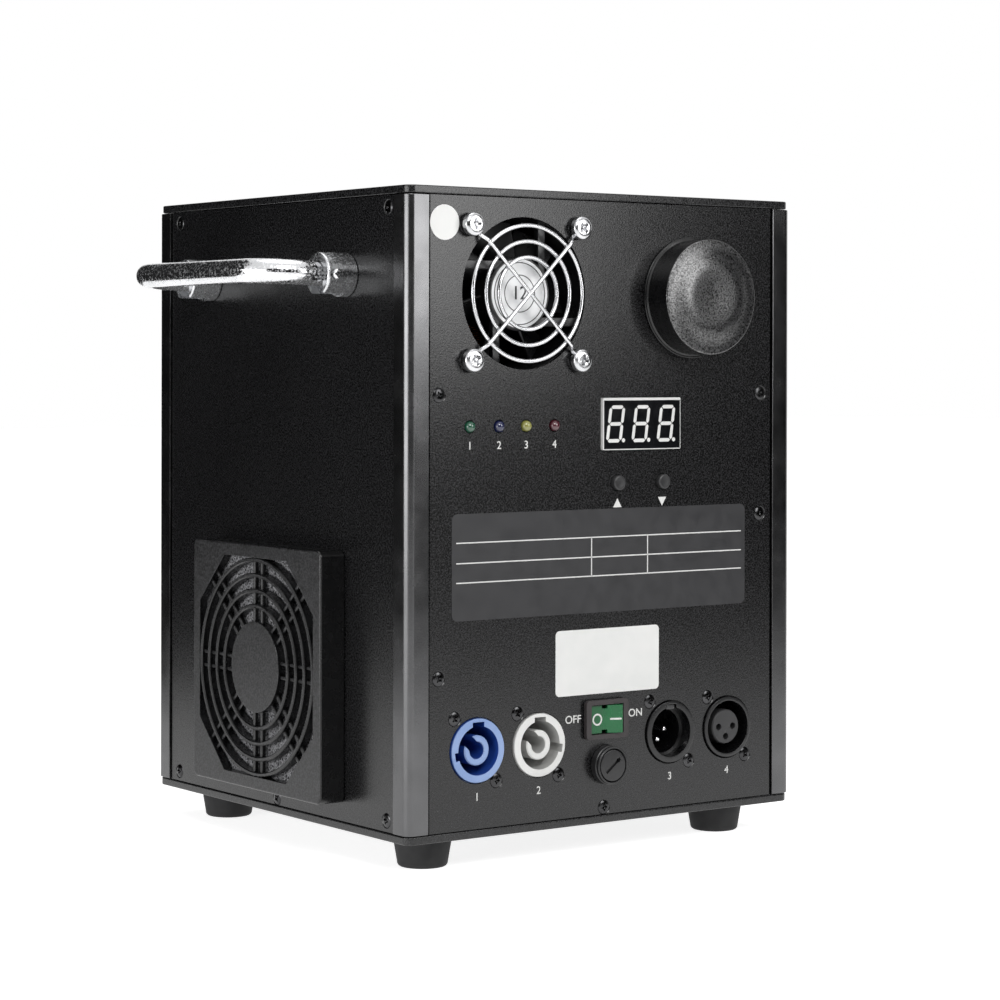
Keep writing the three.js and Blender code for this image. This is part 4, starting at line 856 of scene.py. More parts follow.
def makeSeat(name, s):
    # a turned stub with a slot that is open in front and below
    roofHalf = s["rod"] + 0.5
    slotHalf = s["ear"] + 0.15
    length = s["seatLength"] + 0.3
    back = s["pinDepth"] - roofHalf
    radius, edge = s["seatRadius"], s["seatEdge"]
    rim = [(radius - edge + edge * cosine, length - edge + edge * sine)
           for cosine, sine in quarterTurn(4)]
    seat = turned(name, [(0, 0.3), (radius, 0.3), (radius, length - edge), *rim, (0, length)], 72)
    arch = rod("arch", roofHalf, back, length + 2, sides=48)
    carve(arch, bar("throat", -slotHalf, slotHalf, -20, roofHalf + 1, back - 1, length + 3),
          operation="INTERSECT")
    shaft = bar("shaft", -slotHalf, slotHalf, -radius - 1, 0, back, length + 2)
    carve(seat, arch, shaft)
    soften(seat, 0.6, 3, 40)
    return seat


def makeHandles(s):
    for side in ("left", "right"):
        body = side + "_handle"
        lean = Matrix.Rotation(math.radians(-s["tilt"]), 4, "X")
        place = onFace(side, 0, s["height"], s["pinDepth"]) @ lean
        bail = makeBail(side + "_handle_bail_bar", s)
        finishPiece(bail, finishes["chrome"], place, body, [side + "_handle_bail"], 40)
        for i, letter in enumerate("ab"):
            x = (i - 0.5) * s["spread"]
            seat = makeSeat(f"{side}_handle_seat_{letter}_turned", s)
            finishPiece(seat, finishes["seatChrome"], onFace(side, x, s["height"]),
                        replaced=[f"{side}_handle_seat_{letter}"])
            reach = s["seatRadius"] + 0.8
            pin = rod(f"{side}_handle_pin_{letter}_rivet", s["pin"], -reach, reach, sides=40, along="X")
            soften(pin, 0.9, 4)
            finishPiece(pin, finishes["chrome"], onFace(side, x, s["height"], s["pinDepth"]),
                        replaced=[f"{side}_handle_pin_{letter}"])


makeHandles(handleSettings)
print("handles made")


# filter over the intake fan

filterSettings = {
    "across": 2.2,
    "up": 69.6,
    "size": 94.8,
    "depth": 11.0,
    "corner": 3.0,
    "wall": 2.0,
    "face": 3.4,
    "window": 84.4,
    "chamfer": 19.2,
    "hub": 17.6,
    "pitch": 5.95,
    "ring": 1.6,
    "rings": 4,
    "spoke": 1.7,
    "spacing": 5.4,
    "setback": 1.2,
    "foam": 3.2,
    "edge": 0.9,
}


def octagon(size, chamfer):
    half = size / 2
    flat = half - chamfer
    return [(half, -flat), (half, flat), (flat, half), (-flat, half),
            (-half, flat), (-half, -flat), (-flat, -half), (flat, -half)]


def roundTopEdge(piece, top, width):
    # rounds only the edges that lie in the top face
    bpy.context.tool_settings.mesh_select_mode = (False, True, False)
    bpy.ops.object.mode_set(mode="EDIT")
    bpy.ops.mesh.select_all(action="DESELECT")
    bpy.ops.object.mode_set(mode="OBJECT")
    for edge in piece.data.edges:
        edge.select = all(piece.data.vertices[v].co.z > (top - 0.01) * mm for v in edge.vertices)
    bpy.ops.object.mode_set(mode="EDIT")
    bpy.ops.mesh.bevel(offset=width * mm, segments=5)
    bpy.ops.object.mode_set(mode="OBJECT")


def filterShell(s):
    # the snap-on frame of the cover, hollow behind, with an eight-sided window
    depth, back = s["depth"], s["depth"] - s["face"]
    shell = prism("filter_cover_grille", roundedBox(s["size"], s["size"], s["corner"], 8), 0.3, depth)
    roundTopEdge(shell, depth, s["edge"])
    inner = s["size"] - 2 * s["wall"]
    hollow = prism("hollow", roundedBox(inner, inner, s["corner"] - 1, 6), -1, back)
    window = prism("window", octagon(s["window"], s["chamfer"]), back - 1, depth + 1)
    carve(shell, hollow, window)
    return soften(shell, 0.25, 2, 40)


def filterGrille(s):
    # the hub, the rings round it and eight pairs of spokes
    depth, back = s["depth"], s["depth"] - s["face"]
    hub = turned("hub", [(0, back), (s["hub"], back), (s["hub"], depth - 0.35),
                         (s["hub"] - 0.12, depth - 0.1), (s["hub"] - 0.4, depth), (0, depth)], 96)
    parts = [hub]
    for i in range(s["rings"]):
        middle = s["hub"] + (i + 1) * s["pitch"]
        outside, inside = middle + s["ring"] / 2, middle - s["ring"] / 2
        parts.append(turned("ring", [
            (inside, back), (outside, back), (outside, depth - 0.4), (outside - 0.35, depth),
            (inside + 0.35, depth), (inside, depth - 0.4)], 128))
    for turn in range(8):
        far = s["window"] / 2 + 1.5 if turn % 2 == 0 else s["window"] / 2 * 1.085 + 1.5
        for side in (-0.5, 0.5):
            offset = side * s["spacing"]
            spoke = bar("spoke", s["hub"] - 1.5, far, offset - s["spoke"] / 2, offset + s["spoke"] / 2,
                        back, depth - s["setback"])
            soften(spoke, 0.8, 4)
            parts.append(turnAndMove(spoke, turn * math.pi / 4))
    return parts


def makeFilterCover(s):
    cover = merge("filter_cover_grille", filterShell(s), *filterGrille(s))
    finishPiece(cover, finishes["filterPlastic"], spotOf(s, face="left"),
                "filter_cover", ["filter_cover"])
    # the cover's walls take a darker black: painted shade
    finishWalls(cover, finishes["smoothShadedPlastic"], "left", 0.75)


def makeFoamPad(s):
    size = s["size"] - 2 * s["wall"] - 0.6
    top = s["depth"] - s["face"] - 0.3
    bottom = top - s["foam"]
    # the face is a fine net of points pushed in and out by a noise, then pulled down to a pad
    pad = addPiece("filter_foam_pad", bpy.ops.mesh.primitive_grid_add, x_subdivisions=110,
                   y_subdivisions=110, size=size * mm, location=(0, 0, (top - 0.45) * mm))
    cells = bpy.data.textures.new("foam_cells", "CLOUDS")
    cells.noise_scale = 0.0016
    cells.noise_depth = 2
    apply(pad, "DISPLACE", texture=cells, strength=0.8 * mm, mid_level=0.5, texture_coords="LOCAL")
    bpy.ops.object.mode_set(mode="EDIT")
    bpy.ops.mesh.select_all(action="SELECT")
    down = (bottom - top + 0.9) * mm
    bpy.ops.mesh.extrude_region_move(TRANSFORM_OT_translate={"value": (0, 0, down)})
    bpy.ops.object.mode_set(mode="OBJECT")
    tidyNormals(pad)
    finishPiece(pad, finishes["foam"], spotOf(s, face="left"), "filter_cover",
                ["filter_foam"], 60)


makeFilterCover(filterSettings)
makeFoamPad(filterSettings)
print("filter made")


# exhaust fan behind its round hole, and the wire guard over it

fanSettings = {
    "across": -39.5,
    "up": 213.2,
    "size": 60.0,
    "bore": 57.0,
    "hub": 28.0,
    "depth": 25.0,
    "hubRecess": 1.2,
    "hubPlate": 3.0,
    "strut": 3.5,
    "strutDrop": 0.5,
    "holePitch": 50.0,
    "blades": 7,
    "rootAngle": 38.0,
    "tipAngle": 58.0,
    "camber": 1.6,
    "bladeThickness": 1.1,
    "labelRadius": 13.0,
    "labelRingShares": (0.52, 0.88),
    "labelNumber": 5.0,
    "back": -1.8,     # the frame's face, from the panel's outer face
}


def makeFanFrame(s):
    outline = roundedBox(s["size"], s["size"], 4, 6)
    frameBody = prism("exhaust_fan_frame_housing", outline, -s["depth"], 0)
    carve(frameBody, rod("bore", s["bore"] / 2, -s["depth"] - 1, 1, sides=96))
    for x in (-s["holePitch"] / 2, s["holePitch"] / 2):
        for y in (-s["holePitch"] / 2, s["holePitch"] / 2):
            carve(frameBody, rod("screw_hole", 2.15, -s["depth"] - 1, 1, x, y, 24))
    soften(frameBody, 0.4, 2, 40)
    finishPiece(frameBody, finishes["fanPlastic"], spotOf(s, s["back"]),
                replaced=["exhaust_fan_frame"])


def makeFanHub(s):
    # the plate that carries the motor, on four struts
    top = -s["hubRecess"]
    under = top - s["hubPlate"]
    hubRadius = s["hub"] / 2
    hub = turned("exhaust_fan_hub", [
        (0, under), (hubRadius - 0.4, under), (hubRadius, under + 0.4), (hubRadius, top - 0.5),
        (hubRadius - 0.5, top), (hubRadius - 1.0, top), (hubRadius - 1.15, top - 0.25),
        (0, top - 0.25)], 80)
    struts = []
    for i in range(4):
        strut = bar("strut", hubRadius - 1.5 * s["strut"], hubRadius - 0.5 * s["strut"], 6,
                    s["bore"] / 2 + 0.6, under, top - s["strutDrop"])
        soften(strut, 0.5, 2)
        struts.append(turnAndMove(strut, i * math.pi / 2))
    hub = merge("exhaust_fan_hub", hub, *struts)
    finishPiece(hub, finishes["fanPlastic"], spotOf(s, s["back"]))


def makeFanLabel(s):
    # a silver label with two printed rings and a number
    top = -s["hubRecess"]
    place = spotOf(s, s["back"])
    radius = s["labelRadius"]
    label = turned("exhaust_fan_label", [
        (0, top - 0.3), (radius, top - 0.3), (radius, top - 0.12), (radius - 0.1, top - 0.08),
        (0, top - 0.08)], 80)
    finishPiece(label, finishes["silverVinyl"], place)
    marks = [turned("ring", [(radius * share, top - 0.09), (radius * share + 0.35, top - 0.09),
                             (radius * share + 0.35, top - 0.03), (radius * share, top - 0.03)], 72)
             for share in s["labelRingShares"]]
    finishPiece(merge("exhaust_fan_label_rings", *marks), finishes["darkInk"], place)
    makeText("exhaust_fan_label_number", "12", s["labelNumber"], spotOf(s, s["back"] + top - 0.08),
             finishes["darkInk"])


def fanBlades(s, radius, top, bottom):
    # a blade is a thin sheet that twists and bends from its root on the cup to its tip
    tip = s["bore"] / 2 - 1.2
    chord = 0.9 * (top - bottom)
    blade = addPiece("blade", bpy.ops.mesh.primitive_grid_add, x_subdivisions=10, y_subdivisions=10,
                     size=1)
    rootAngle, tipAngle = math.radians(s["rootAngle"]), math.radians(s["tipAngle"])
    for vertex in blade.data.vertices:
        along = vertex.co.x + 0.5
        across = vertex.co.y
        angle = rootAngle + (tipAngle - rootAngle) * along
        reach = radius - 0.6 + (tip - 0.4 - radius + 0.6) * along
        camber = s["camber"] * (0.25 - across * across)
        sweep = -across * chord * math.sin(angle) + camber * math.cos(angle)
        turn = sweep / reach
        vertex.co = (reach * math.cos(turn) * mm, reach * math.sin(turn) * mm,
                     ((top + bottom) / 2 + across * chord * math.cos(angle)) * mm)
    apply(blade, "SOLIDIFY", thickness=s["bladeThickness"] * mm, offset=0)
    soften(blade, 0.35, 2, 50)
    blades = [turnAndMove(copyOf(blade, "blade"), i * 2 * math.pi / s["blades"])
              for i in range(s["blades"])]
    bpy.data.objects.remove(blade)
    return blades


def makeFanRotor(s):
    top = -s["hubRecess"] - s["hubPlate"] - 0.3
    bottom = -s["depth"] + 1.5
    radius = s["hub"] / 2 - 0.3
    cup = turned("exhaust_fan_rotor_cup", [
        (0, bottom), (radius - 1.2, bottom), (radius, bottom + 1.2), (radius, top), (radius - 1.5, top),
        (radius - 1.5, bottom + 1.5), (1.5, bottom + 1.5), (1.5, top - 0.3), (0, top - 0.3)], 64)
    rotor = merge("exhaust_fan_impeller", cup, *fanBlades(s, radius, top, bottom))
    tidyNormals(rotor)
    finishPiece(rotor, finishes["fanPlastic"], spotOf(s, s["back"]),
                "exhaust_fan_rotor", ["exhaust_fan_rotor"], 40)


guardSettings = {
    "wire": 0.8,
    "seat": 0.3,      # how far the wires stand clear of the panel
    "rings": (25.3, 19.37, 13.44),
    "lift": 1.2,
    "flat": 26.6,     # the cross wires run level over the rings as far as this from the middle,
    "foot": 31.0,     # and are down on the panel from here
    "eye": 3.0,
    "screwHead": 4.4,
    "screwHeight": 2.9,
}


def makeGuard(s, fan):
    wireZ = s["seat"] + s["wire"]
    corner = fan["holePitch"] / 2

    def ring(radius, x, y, z, sides):
        return addPiece("ring", bpy.ops.mesh.primitive_torus_add, major_radius=radius * mm,
                        minor_radius=s["wire"] * mm, major_segments=sides, minor_segments=14,
                        location=(x * mm, y * mm, z * mm))

    parts = [ring(radius, 0, 0, wireZ + s["lift"], 112) for radius in s["rings"]]
    reach = math.hypot(corner, corner) - s["eye"]
    rise = s["lift"] + 2 * s["wire"] - 0.15
    half = [(s["wire"], s["flat"] + (s["foot"] - s["flat"]) * i / 8) for i in range(9)]
    profile = [(0, -reach), (s["wire"], -reach)] + [(w, -h) for w, h in reversed(half)]
    profile += half + [(s["wire"], reach), (0, reach)]
    for turn in (1, -1):
        wire = turned("wire", profile, 14)
        for vertex in wire.data.vertices:
            along = vertex.co.z
            share = (s["foot"] * mm - abs(along)) / ((s["foot"] - s["flat"]) * mm)
            share = min(1.0, max(0.0, share))
            lifted = rise * share * share * (3 - 2 * share)
            vertex.co = (along, vertex.co.y, vertex.co.x + (wireZ + lifted) * mm)
        tidyNormals(wire)
        parts.append(turnAndMove(wire, turn * math.pi / 4))
    for x in (-corner, corner):
        for y in (-corner, corner):
            parts.append(ring(s["eye"], x, y, wireZ, 40))
    guard = merge("finger_guard_wires", *parts)
    finishPiece(guard, finishes["wire"], spotOf(fan), replaced=["finger_guard"],
                smooth=60)


def makeFanScrews(s, fan):
    # pan heads that clamp the guard's eyes, with a cross recess round a pit
    corner = fan["holePitch"] / 2
    radius, height = s["screwHead"], s["screwHeight"]
    base = s["seat"] + s["wire"] + s["wire"] - 0.4
    profile = [(0, base - 3), (2, base - 3), (2, base), (radius, base), (radius, base + 0.5 * height)]
    profile += [(radius * (0.55 + 0.45 * cosine), base + height * (0.5 + 0.5 * sine))
                for cosine, sine in quarterTurn(6)]
    profile.append((0, base + height))
    screw = turned("fan_screw", profile, 48)
    crossFloor, above = base + height - 1.2, base + height + 1
    carve(screw, bar("cross", -2.1, 2.1, -0.45, 0.45, crossFloor, base + 6),
          bar("cross", -0.45, 0.45, -2.1, 2.1, crossFloor, base + 6),
          turned("pit", [(0, base + 0.9), (0.4, base + 1.0), (1.3, above), (0, above)], 20))
    soften(screw, 0.12, 2, 50)
    corners = ((-corner, -corner), (corner, -corner), (corner, corner), (-corner, corner))
    for i, (x, y) in enumerate(corners):
        copy = turnAndMove(copyOf(screw, f"fan_screw_{i + 1}"), 0.5 + 0.9 * i, x, y)
        finishPiece(copy, finishes["wire"], spotOf(fan), smooth=40)
    bpy.data.objects.remove(screw)


makeFanFrame(fanSettings)
makeFanHub(fanSettings)
makeFanLabel(fanSettings)
makeFanRotor(fanSettings)
makeGuard(guardSettings, fanSettings)
makeFanScrews(guardSettings, fanSettings)
print("exhaust fan made")


# filler cap

capSettings = {
    "across": 40.9,
    "up": 212.8,
    "radius": 23.5,
    "faceRadius": 22.3,
    "length": 15.0,
    "edge": 0.7,
    "crown": 2.1,
    "dishShare": 0.5,    # where the domed rim turns into the shallow dish
    "dish": 0.25,
    "lip": 0.8,
    "floor": 4.5,
    "bore": 18.6,
}


def makeFillerCap(s):
    radius, face, length, edge = s["radius"], s["faceRadius"], s["length"], s["edge"]
    shoulder = length - s["crown"] - edge
    profile = [(0, length - s["floor"]), (s["bore"], length - s["floor"]), (s["bore"], 0.3),
               (radius - 0.15, 0.3), (radius, 0.45), (radius, s["lip"]), (radius - 0.2, s["lip"] + 0.2),
               (face + 0.5, s["lip"] + 0.25), (face, s["lip"] + 0.8)]
    rim = face - edge
    profile.append((face, shoulder))
    profile += [(rim + edge * cosine, shoulder + edge * sine) for cosine, sine in quarterTurn(4)]
    steps = 20
    for i in range(1, steps + 1):
        share = 1 - i / steps
        dome = 0.5 - 0.5 * math.cos(math.pi * min(1.0, (1 - share) / (1 - s["dishShare"])))
        sunk = 0.5 + 0.5 * math.cos(math.pi * min(1.0, share / s["dishShare"]))
        profile.append((rim * share, length - s["crown"] + s["crown"] * dome - s["dish"] * sunk))
    cap = turned("filler_cap_moulding", profile, 96)
    finishPiece(cap, finishes["capPlastic"], spotOf(s), "filler_cap",
                ["filler_cap"], 30)
    # the cap's side walls take a darker black: painted shade
    finishWalls(cap, finishes["smoothShadedPlastic"], "control", 0.3, shoulder - 0.2)


makeFillerCap(capSettings)
print("filler cap made")


# display, lamps and buttons

displaySettings = {
    "across": 16.0,
    "up": 164.0,
    "width": 38.2,
    "height": 20.0,
    "proud": 1.3,
    "rimTop": 1.0,
    "rimSide": 0.4,
    "digitHeight": 14.2,
    "digitWidth": 7.6,
    "pitch": 12.4,
    "stroke": 1.35,
    "slant": 8.0,
    "dot": 0.8,
    "back": -9.7,
    "shift": 0.7,     # how far left of the middle the digits stand
}


def segmentOutline(x0, y0, x1, y1, stroke, gap=0.22):
    # one bar of a digit between two joints, with pointed ends
    start, end = Vector((x0, y0)), Vector((x1, y1))
    along = (end - start).normalized()
    side = Vector((-along.y, along.x)) * stroke / 2
    start += along * gap
    end -= along * gap
    tip = along * stroke / 2
    points = [start, start + tip + side, end - tip + side, end, end - tip - side, start + tip - side]
    return [(p.x, p.y) for p in reversed(points)]


def displayDigits(s):
    # the six joints of a digit, left and right at its top, middle and bottom, and its seven bars
    proud = s["proud"]
    w, h, stroke = s["digitWidth"] / 2, s["digitHeight"] / 2, s["stroke"]
    x, y = w - stroke / 2, h - stroke / 2
    joints = {"tl": (-x, y), "tr": (x, y), "ml": (-x, 0), "mr": (x, 0), "bl": (-x, -y), "br": (x, -y)}
    bars = [("tl", "tr"), ("ml", "mr"), ("bl", "br"),
            ("tl", "ml"), ("tr", "mr"), ("ml", "bl"), ("mr", "br")]
    lean = math.tan(math.radians(s["slant"]))
    parts = []
    for digit in range(3):
        middle = (digit - 1) * s["pitch"] - s["shift"]
        for a, b in bars:
            outline = segmentOutline(*joints[a], *joints[b], stroke)
            outline = [(middle + x + y * lean, y) for x, y in outline]
            parts.append(prism("segment", outline, proud - 0.1, proud + 0.03))
        parts.append(rod("dot", s["dot"], proud - 0.1, proud + 0.03, middle + w + 1.0 - h * lean,
                         -h + s["dot"], 20))
    return parts


def makeDisplay(s):
    half, tall, proud = s["width"] / 2, s["height"] / 2, s["proud"]
    place = spotOf(s)
    body = prism("display_body", roundedBox(s["width"], s["height"], 0.5, 3), s["back"], proud - 0.05)
    soften(body, 0.25, 2, 50)
    finishPiece(body, finishes["displayBody"], place, replaced=["display_module"])
    x0, x1 = -half + s["rimSide"], half - s["rimSide"]
    y0, y1 = -tall + s["rimSide"], tall - s["rimTop"]
    face = bar("display_lens", x0, x1, y0, y1, proud - 0.6, proud)
    soften(face, 0.1, 2)
    finishPiece(face, finishes["displayFace"], place)
    digits = merge("display_digits", *displayDigits(s))
    finishPiece(digits, finishes["segment"], place)


lampSettings = {
    "radius": 2.1,
    "proud": 2.0,
    "back": -9.7,
    # name, slot and finish of each, from the left
    "lamps": [("ready_lamp", "lamp_green", "greenLamp"), ("link_lamp", "lamp_blue", "blueLamp"),
              ("fault_lamp", "lamp_yellow", "yellowLamp"), ("heat_lamp", "lamp_red", "redLamp")],
}


def makeLamps(s, holes):
    r, back, proud = s["radius"], s["back"], s["proud"]
    dome = [(r * cosine, proud * sine) for cosine, sine in quarterTurn(12)]
    lamp = turned("lamp", [(0, back), (r, back), (r, 0), *dome[:-1], (0, proud)], 40)
    for (name, slotName, look), (x, y) in zip(s["lamps"], holes["lamps"]):
        finishPiece(copyOf(lamp, name + "_lens"), finishes[look], onFace("control", x, y),
                    replaced=[name], smooth=60)
    bpy.data.objects.remove(lamp)


buttonSettings = {
    "radius": 2.85,
    "proud": 2.0,
    "flange": 1.0,
    "back": -5.6,
    "edge": 0.6,
}


def makeButtons(s, holes):
    r, proud, back, edge = s["radius"], s["proud"], s["back"], s["edge"]
    profile = [(0, back), (r + s["flange"], back), (r + s["flange"], back + 1), (r, back + 1),
               (r, proud - edge)]
    profile += [(r - edge + edge * cosine, proud - edge + edge * sine)
                for cosine, sine in quarterTurn(5)]
    profile += [(r - 1.4, proud - 0.12), (0, proud - 0.25)]
    button = turned("button", profile, 48)
    for name, (x, y) in zip(("up_button", "down_button"), holes["buttons"]):
        finishPiece(copyOf(button, name + "_cap"), finishes["buttonPlastic"],
                    onFace("control", x, y), name, [name], 35)
    bpy.data.objects.remove(button)


makeDisplay(displaySettings)
makeLamps(lampSettings, panelHoles)
makeButtons(buttonSettings, panelHoles)
print("display, lamps and buttons made")


# rocker switch

rockerSettings = {
    "across": -1.2,
    "up": 51.65,
    "width": 20.2,
    "height": 14.9,
    "proud": 2.0,
    "corner": 1.6,
    "radius": 8.9,
    "rockerHeight": 10.6,
    "valley": 1.0,
    "pivot": 3.0,
    "tilt": 12.0,
    "notch": 2.4,
    "notchDepth": 1.3,
    "offMark": 3.3,
    "offRing": (1.65, 2.3),
    "onLine": (4.6, 0.7, 0.2),
    "wellDepth": 16.6,
    "bodyDepth": 18.0,
}


def makeRockerHousing(s):
    outline = roundedBox(s["width"], s["height"], s["corner"], 5)
    housing = prism("rocker_bezel", outline, 0.3, s["proud"])
    body = bar("rocker_body", -s["width"] / 2 + 0.7, s["width"] / 2 - 0.7, -s["height"] / 2 + 0.7,
               s["height"] / 2 - 0.7, -s["bodyDepth"], 0.6)
    carve(housing, body, operation="UNION")
    wide, tall = s["radius"] + 0.3, s["rockerHeight"] / 2 + 0.3
    well = rod("well", wide, -tall, tall, 0, -s["pivot"], 96, along="Y")
    carve(housing, well, bar("pit", -wide, wide, -tall, tall, -s["wellDepth"], -s["pivot"]))
    soften(housing, 0.45, 3, 50)
    finishPiece(housing, finishes["switchPlastic"], spotOf(s),
                replaced=["rocker_housing"])


def pivotPlace(s):
    # on the rocker's pivot, tilted to off
    return spotOf(s, -s["pivot"]) @ Matrix.Rotation(math.radians(-s["tilt"]), 4, "Y")


def makeRockerLever(s):
    # two facets that rise from a valley over the pivot
    r, tall = s["radius"], s["rockerHeight"] / 2
    valley = s["pivot"] + s["valley"]
    wing = valley + r * math.tan(math.radians(s["tilt"]))
    outline = [(-r, -1), (r, -1), (r, wing), (0, valley), (-r, wing)]
    body = prism("rocker_lever", outline, -tall, tall)
    body.data.transform(Matrix.Rotation(math.pi / 2, 4, "X"))
    carve(body, rod("round", r, -tall - 1, tall + 1, 0, 0, 96, along="Y"), operation="INTERSECT")
    soften(body, 0.3, 3, 8)
    notch, deep = s["notch"] / 2, s["notchDepth"]
    carve(body, bar("notch", -notch, notch, tall - deep, tall + 1, 0, 9),
          bar("notch", -notch, notch, -tall - 1, -tall + deep, 0, 9))
    carve(body, rod("pin", 1.2, -6.5, 6.5, sides=24, along="Y"), operation="UNION")
    finishPiece(body, finishes["rockerPlastic"], pivotPlace(s), "rocker", ["rocker"],
                25)


def makeRockerMarks(s):
    # a ring for off and a bar for on, each printed on its own facet
    rise = math.radians(s["tilt"])
    inner, outer = s["offRing"]
    thick = printSettings["thick"]
    off = turned("rocker_off_mark", [(inner, 0), (outer, 0), (outer, thick), (inner, thick)], 40)
    on = prism("rocker_on_mark", roundedBox(*s["onLine"], 3), 0, thick)
    for mark, along, slope in ((off, -s["offMark"], rise), (on, s["radius"] / 2, -rise)):
        height = s["pivot"] + s["valley"] + abs(along) * math.tan(rise)
        mark.data.transform(Matrix.Translation((along * mm, 0, height * mm))
                            @ Matrix.Rotation(slope, 4, "Y"))
        finishPiece(mark, finishes["ink"], pivotPlace(s), "rocker")


makeRockerHousing(rockerSettings)
makeRockerLever(rockerSettings)
makeRockerMarks(rockerSettings)
print("rocker made")


# fuse holder

fuseSettings = {
    "across": -0.41,     # on the axis it turns about
    "up": 34.2,
    "bezel": 7.5,
    "proud": 4.6,
    "body": 6.2,
    "cap": 6.1,
    "capDepth": 3.0,
    "skirt": 4.6,
    "slot": 1.1,
    "slotLength": 8.2,
    "slotTurn": 38.0,
    "length": 32.0,
    "capLength": 9.0,
}


def makeFuse(s):
    place = spotOf(s)
    proud, skirt, bezel, end = s["proud"], s["skirt"], s["bezel"], -s["length"]
    back = proud - s["capDepth"]
    bore = s["cap"] + 0.3
    holder = turned("fuse_holder_moulding", [
        (skirt + 0.3, end), (s["body"], end), (s["body"], 0.3), (bezel, 0.3), (bezel, 2.9),
        (bezel - 0.35, 3.2), (bezel - 0.35, proud - 0.3), (bezel - 0.65, proud),
        (bore + 0.15, proud), (bore, proud - 0.2), (bore, back - 0.3), (skirt + 0.3, back - 0.3)], 72)
    finishPiece(holder, finishes["fusePlastic"], place, replaced=["fuse_holder"])
    cap, end = s["cap"], back - s["capLength"]
    capPiece = turned("fuse_cap_moulding", [
        (0, end), (skirt, end), (skirt, back), (cap, back), (cap, proud - 0.7),
        (cap - 0.2, proud - 0.25), (cap - 0.7, proud - 0.05), (0, proud - 0.05)], 72)
    slot = bar("slot", -s["slotLength"] / 2, s["slotLength"] / 2, -s["slot"] / 2, s["slot"] / 2,
               proud - 1.1, proud + 1)
    turn = math.radians(s["slotTurn"])
    turnAndMove(slot, turn)
    pit = rod("pit", 0.85, proud - 2, proud + 1, 3.0 * math.cos(turn), 3.0 * math.sin(turn), 20)
    carve(capPiece, slot, pit)
    soften(capPiece, 0.12, 2, 50)
    finishPiece(capPiece, finishes["fusePlastic"], place, "fuse_cap", ["fuse_cap"])


makeFuse(fuseSettings)
print("fuse made")


# sockets

socketSettings = {
    "radius": 11.9,
    "proud": 1.0,
    "depth": 24.0,
    "floor": 3.0,
    "bore": 9.1,
    "keyWidth": 5.2,
    "keyDepth": 1.4,
    "core": 5.6,
    "coreBore": 3.2,
    "coreGap": 4.6,
    "gapTurn": 45.0,
    "sideKeyShare": 0.6,
    "flangeWidth": 25.4,
    "flangeHeight": 31.0,
    "contacts": [(-3.6, 0.1), (3.6, 0.1), (0, -3.8)],
    "step": 4.4,
    "insert": 6.8,
}


def socketBarrel(name, s):
    r, proud = s["radius"], s["proud"]
    barrel = turned(name, [(0, -s["depth"]), (r, -s["depth"]), (r, proud - 0.45),
                           (r - 0.15, proud - 0.13), (r - 0.5, proud), (0, proud)], 96)
    flange = bar("flange", -s["flangeWidth"] / 2, s["flangeWidth"] / 2, -s["flangeHeight"] / 2,
                 s["flangeHeight"] / 2, -3.8, -1.8)
    for x, y in ((-9.5, 12), (9.5, -12)):
        carve(flange, rod("screw_hole", 1.7, -5, 0, x, y, 24))
    return carve(barrel, flange, operation="UNION")


def makePowerSocket(s, direction, sideTurn, looks, spot):
    # its bore has a keyway above and a narrower one at the side, and a split core stands inside
    node = f"power_{direction}_socket"
    name = node + "_shell"
    floor, front = -s["depth"] + s["floor"], s["proud"] + 1
    socket = socketBarrel(name, s)
    cutters = [rod("bore", s["bore"], floor, front, sides=80)]
    for turn, share in ((0, 1), (math.radians(sideTurn), s["sideKeyShare"])):
        width = s["keyWidth"] * share
        key = bar("key", -width / 2, width / 2, 0, s["bore"] + s["keyDepth"], floor, front)
        cutters.append(turnAndMove(key, turn))
    carve(socket, *cutters)
    core = turned("core", [(s["coreBore"], floor - 1), (s["core"], floor - 1), (s["core"], -0.4),
                           (s["core"] - 0.4, 0), (s["coreBore"] + 0.3, 0), (s["coreBore"], -0.3)], 64)
    gap = bar("gap", -s["coreGap"] / 2, s["coreGap"] / 2, 0, 2 * s["core"], floor - 2, front)
    carve(core, turnAndMove(gap, math.radians(s["gapTurn"])))
    soften(core, 0.25, 2, 50)
    soften(socket, 0.22, 2, 50)
    socket = merge(name, socket, core)
    finishPiece(socket, finishes[looks[0]], onFace("control", *spot), replaced=[node])
    # the walls take the second, darker look: painted shade in the bore and round the core
    finishWalls(socket, finishes[looks[1]], "control", 0.4, -3.0)


def makeDataInlet(s, spot):
    floor, front = -s["depth"] + s["floor"], s["proud"] + 1
    shell = socketBarrel("data_in_socket_shell", s)
    bore = turned("bore", [(0, floor), (8.5, floor), (8.5, -s["step"]), (9.6, -s["step"]),
                           (9.6, front), (0, front)], 80)
    notch = bar("notch", -s["keyWidth"] / 2, s["keyWidth"] / 2, 7, 10.7, -3, front)
    carve(shell, bore, notch)
    soften(shell, 0.22, 2, 50)
    place = onFace("control", *spot)
    finishPiece(shell, finishes["blackNylon"], place, replaced=["data_in_socket"])
    # the bore walls take a darker black: painted shade
    finishWalls(shell, finishes["smoothShadedPlastic"], "control", 0.3, -6.0)
    latch = bar("data_in_latch", -2.1, 2.1, 8.7, 10.5, -3, 0.5)
    soften(latch, 0.4, 2)
    finishPiece(latch, finishes["greyInsert"], place)
    profile = [(0, floor), (1.2, floor), (1.2, -8.2), (0.9, -7.4), (0.45, -7.1), (0, -7.1)]
    pins = [turnAndMove(turned("pin", profile, 24), 0, x, y) for x, y in s["contacts"]]
    finishPiece(merge("data_in_pins", *pins), finishes["contact"], place)


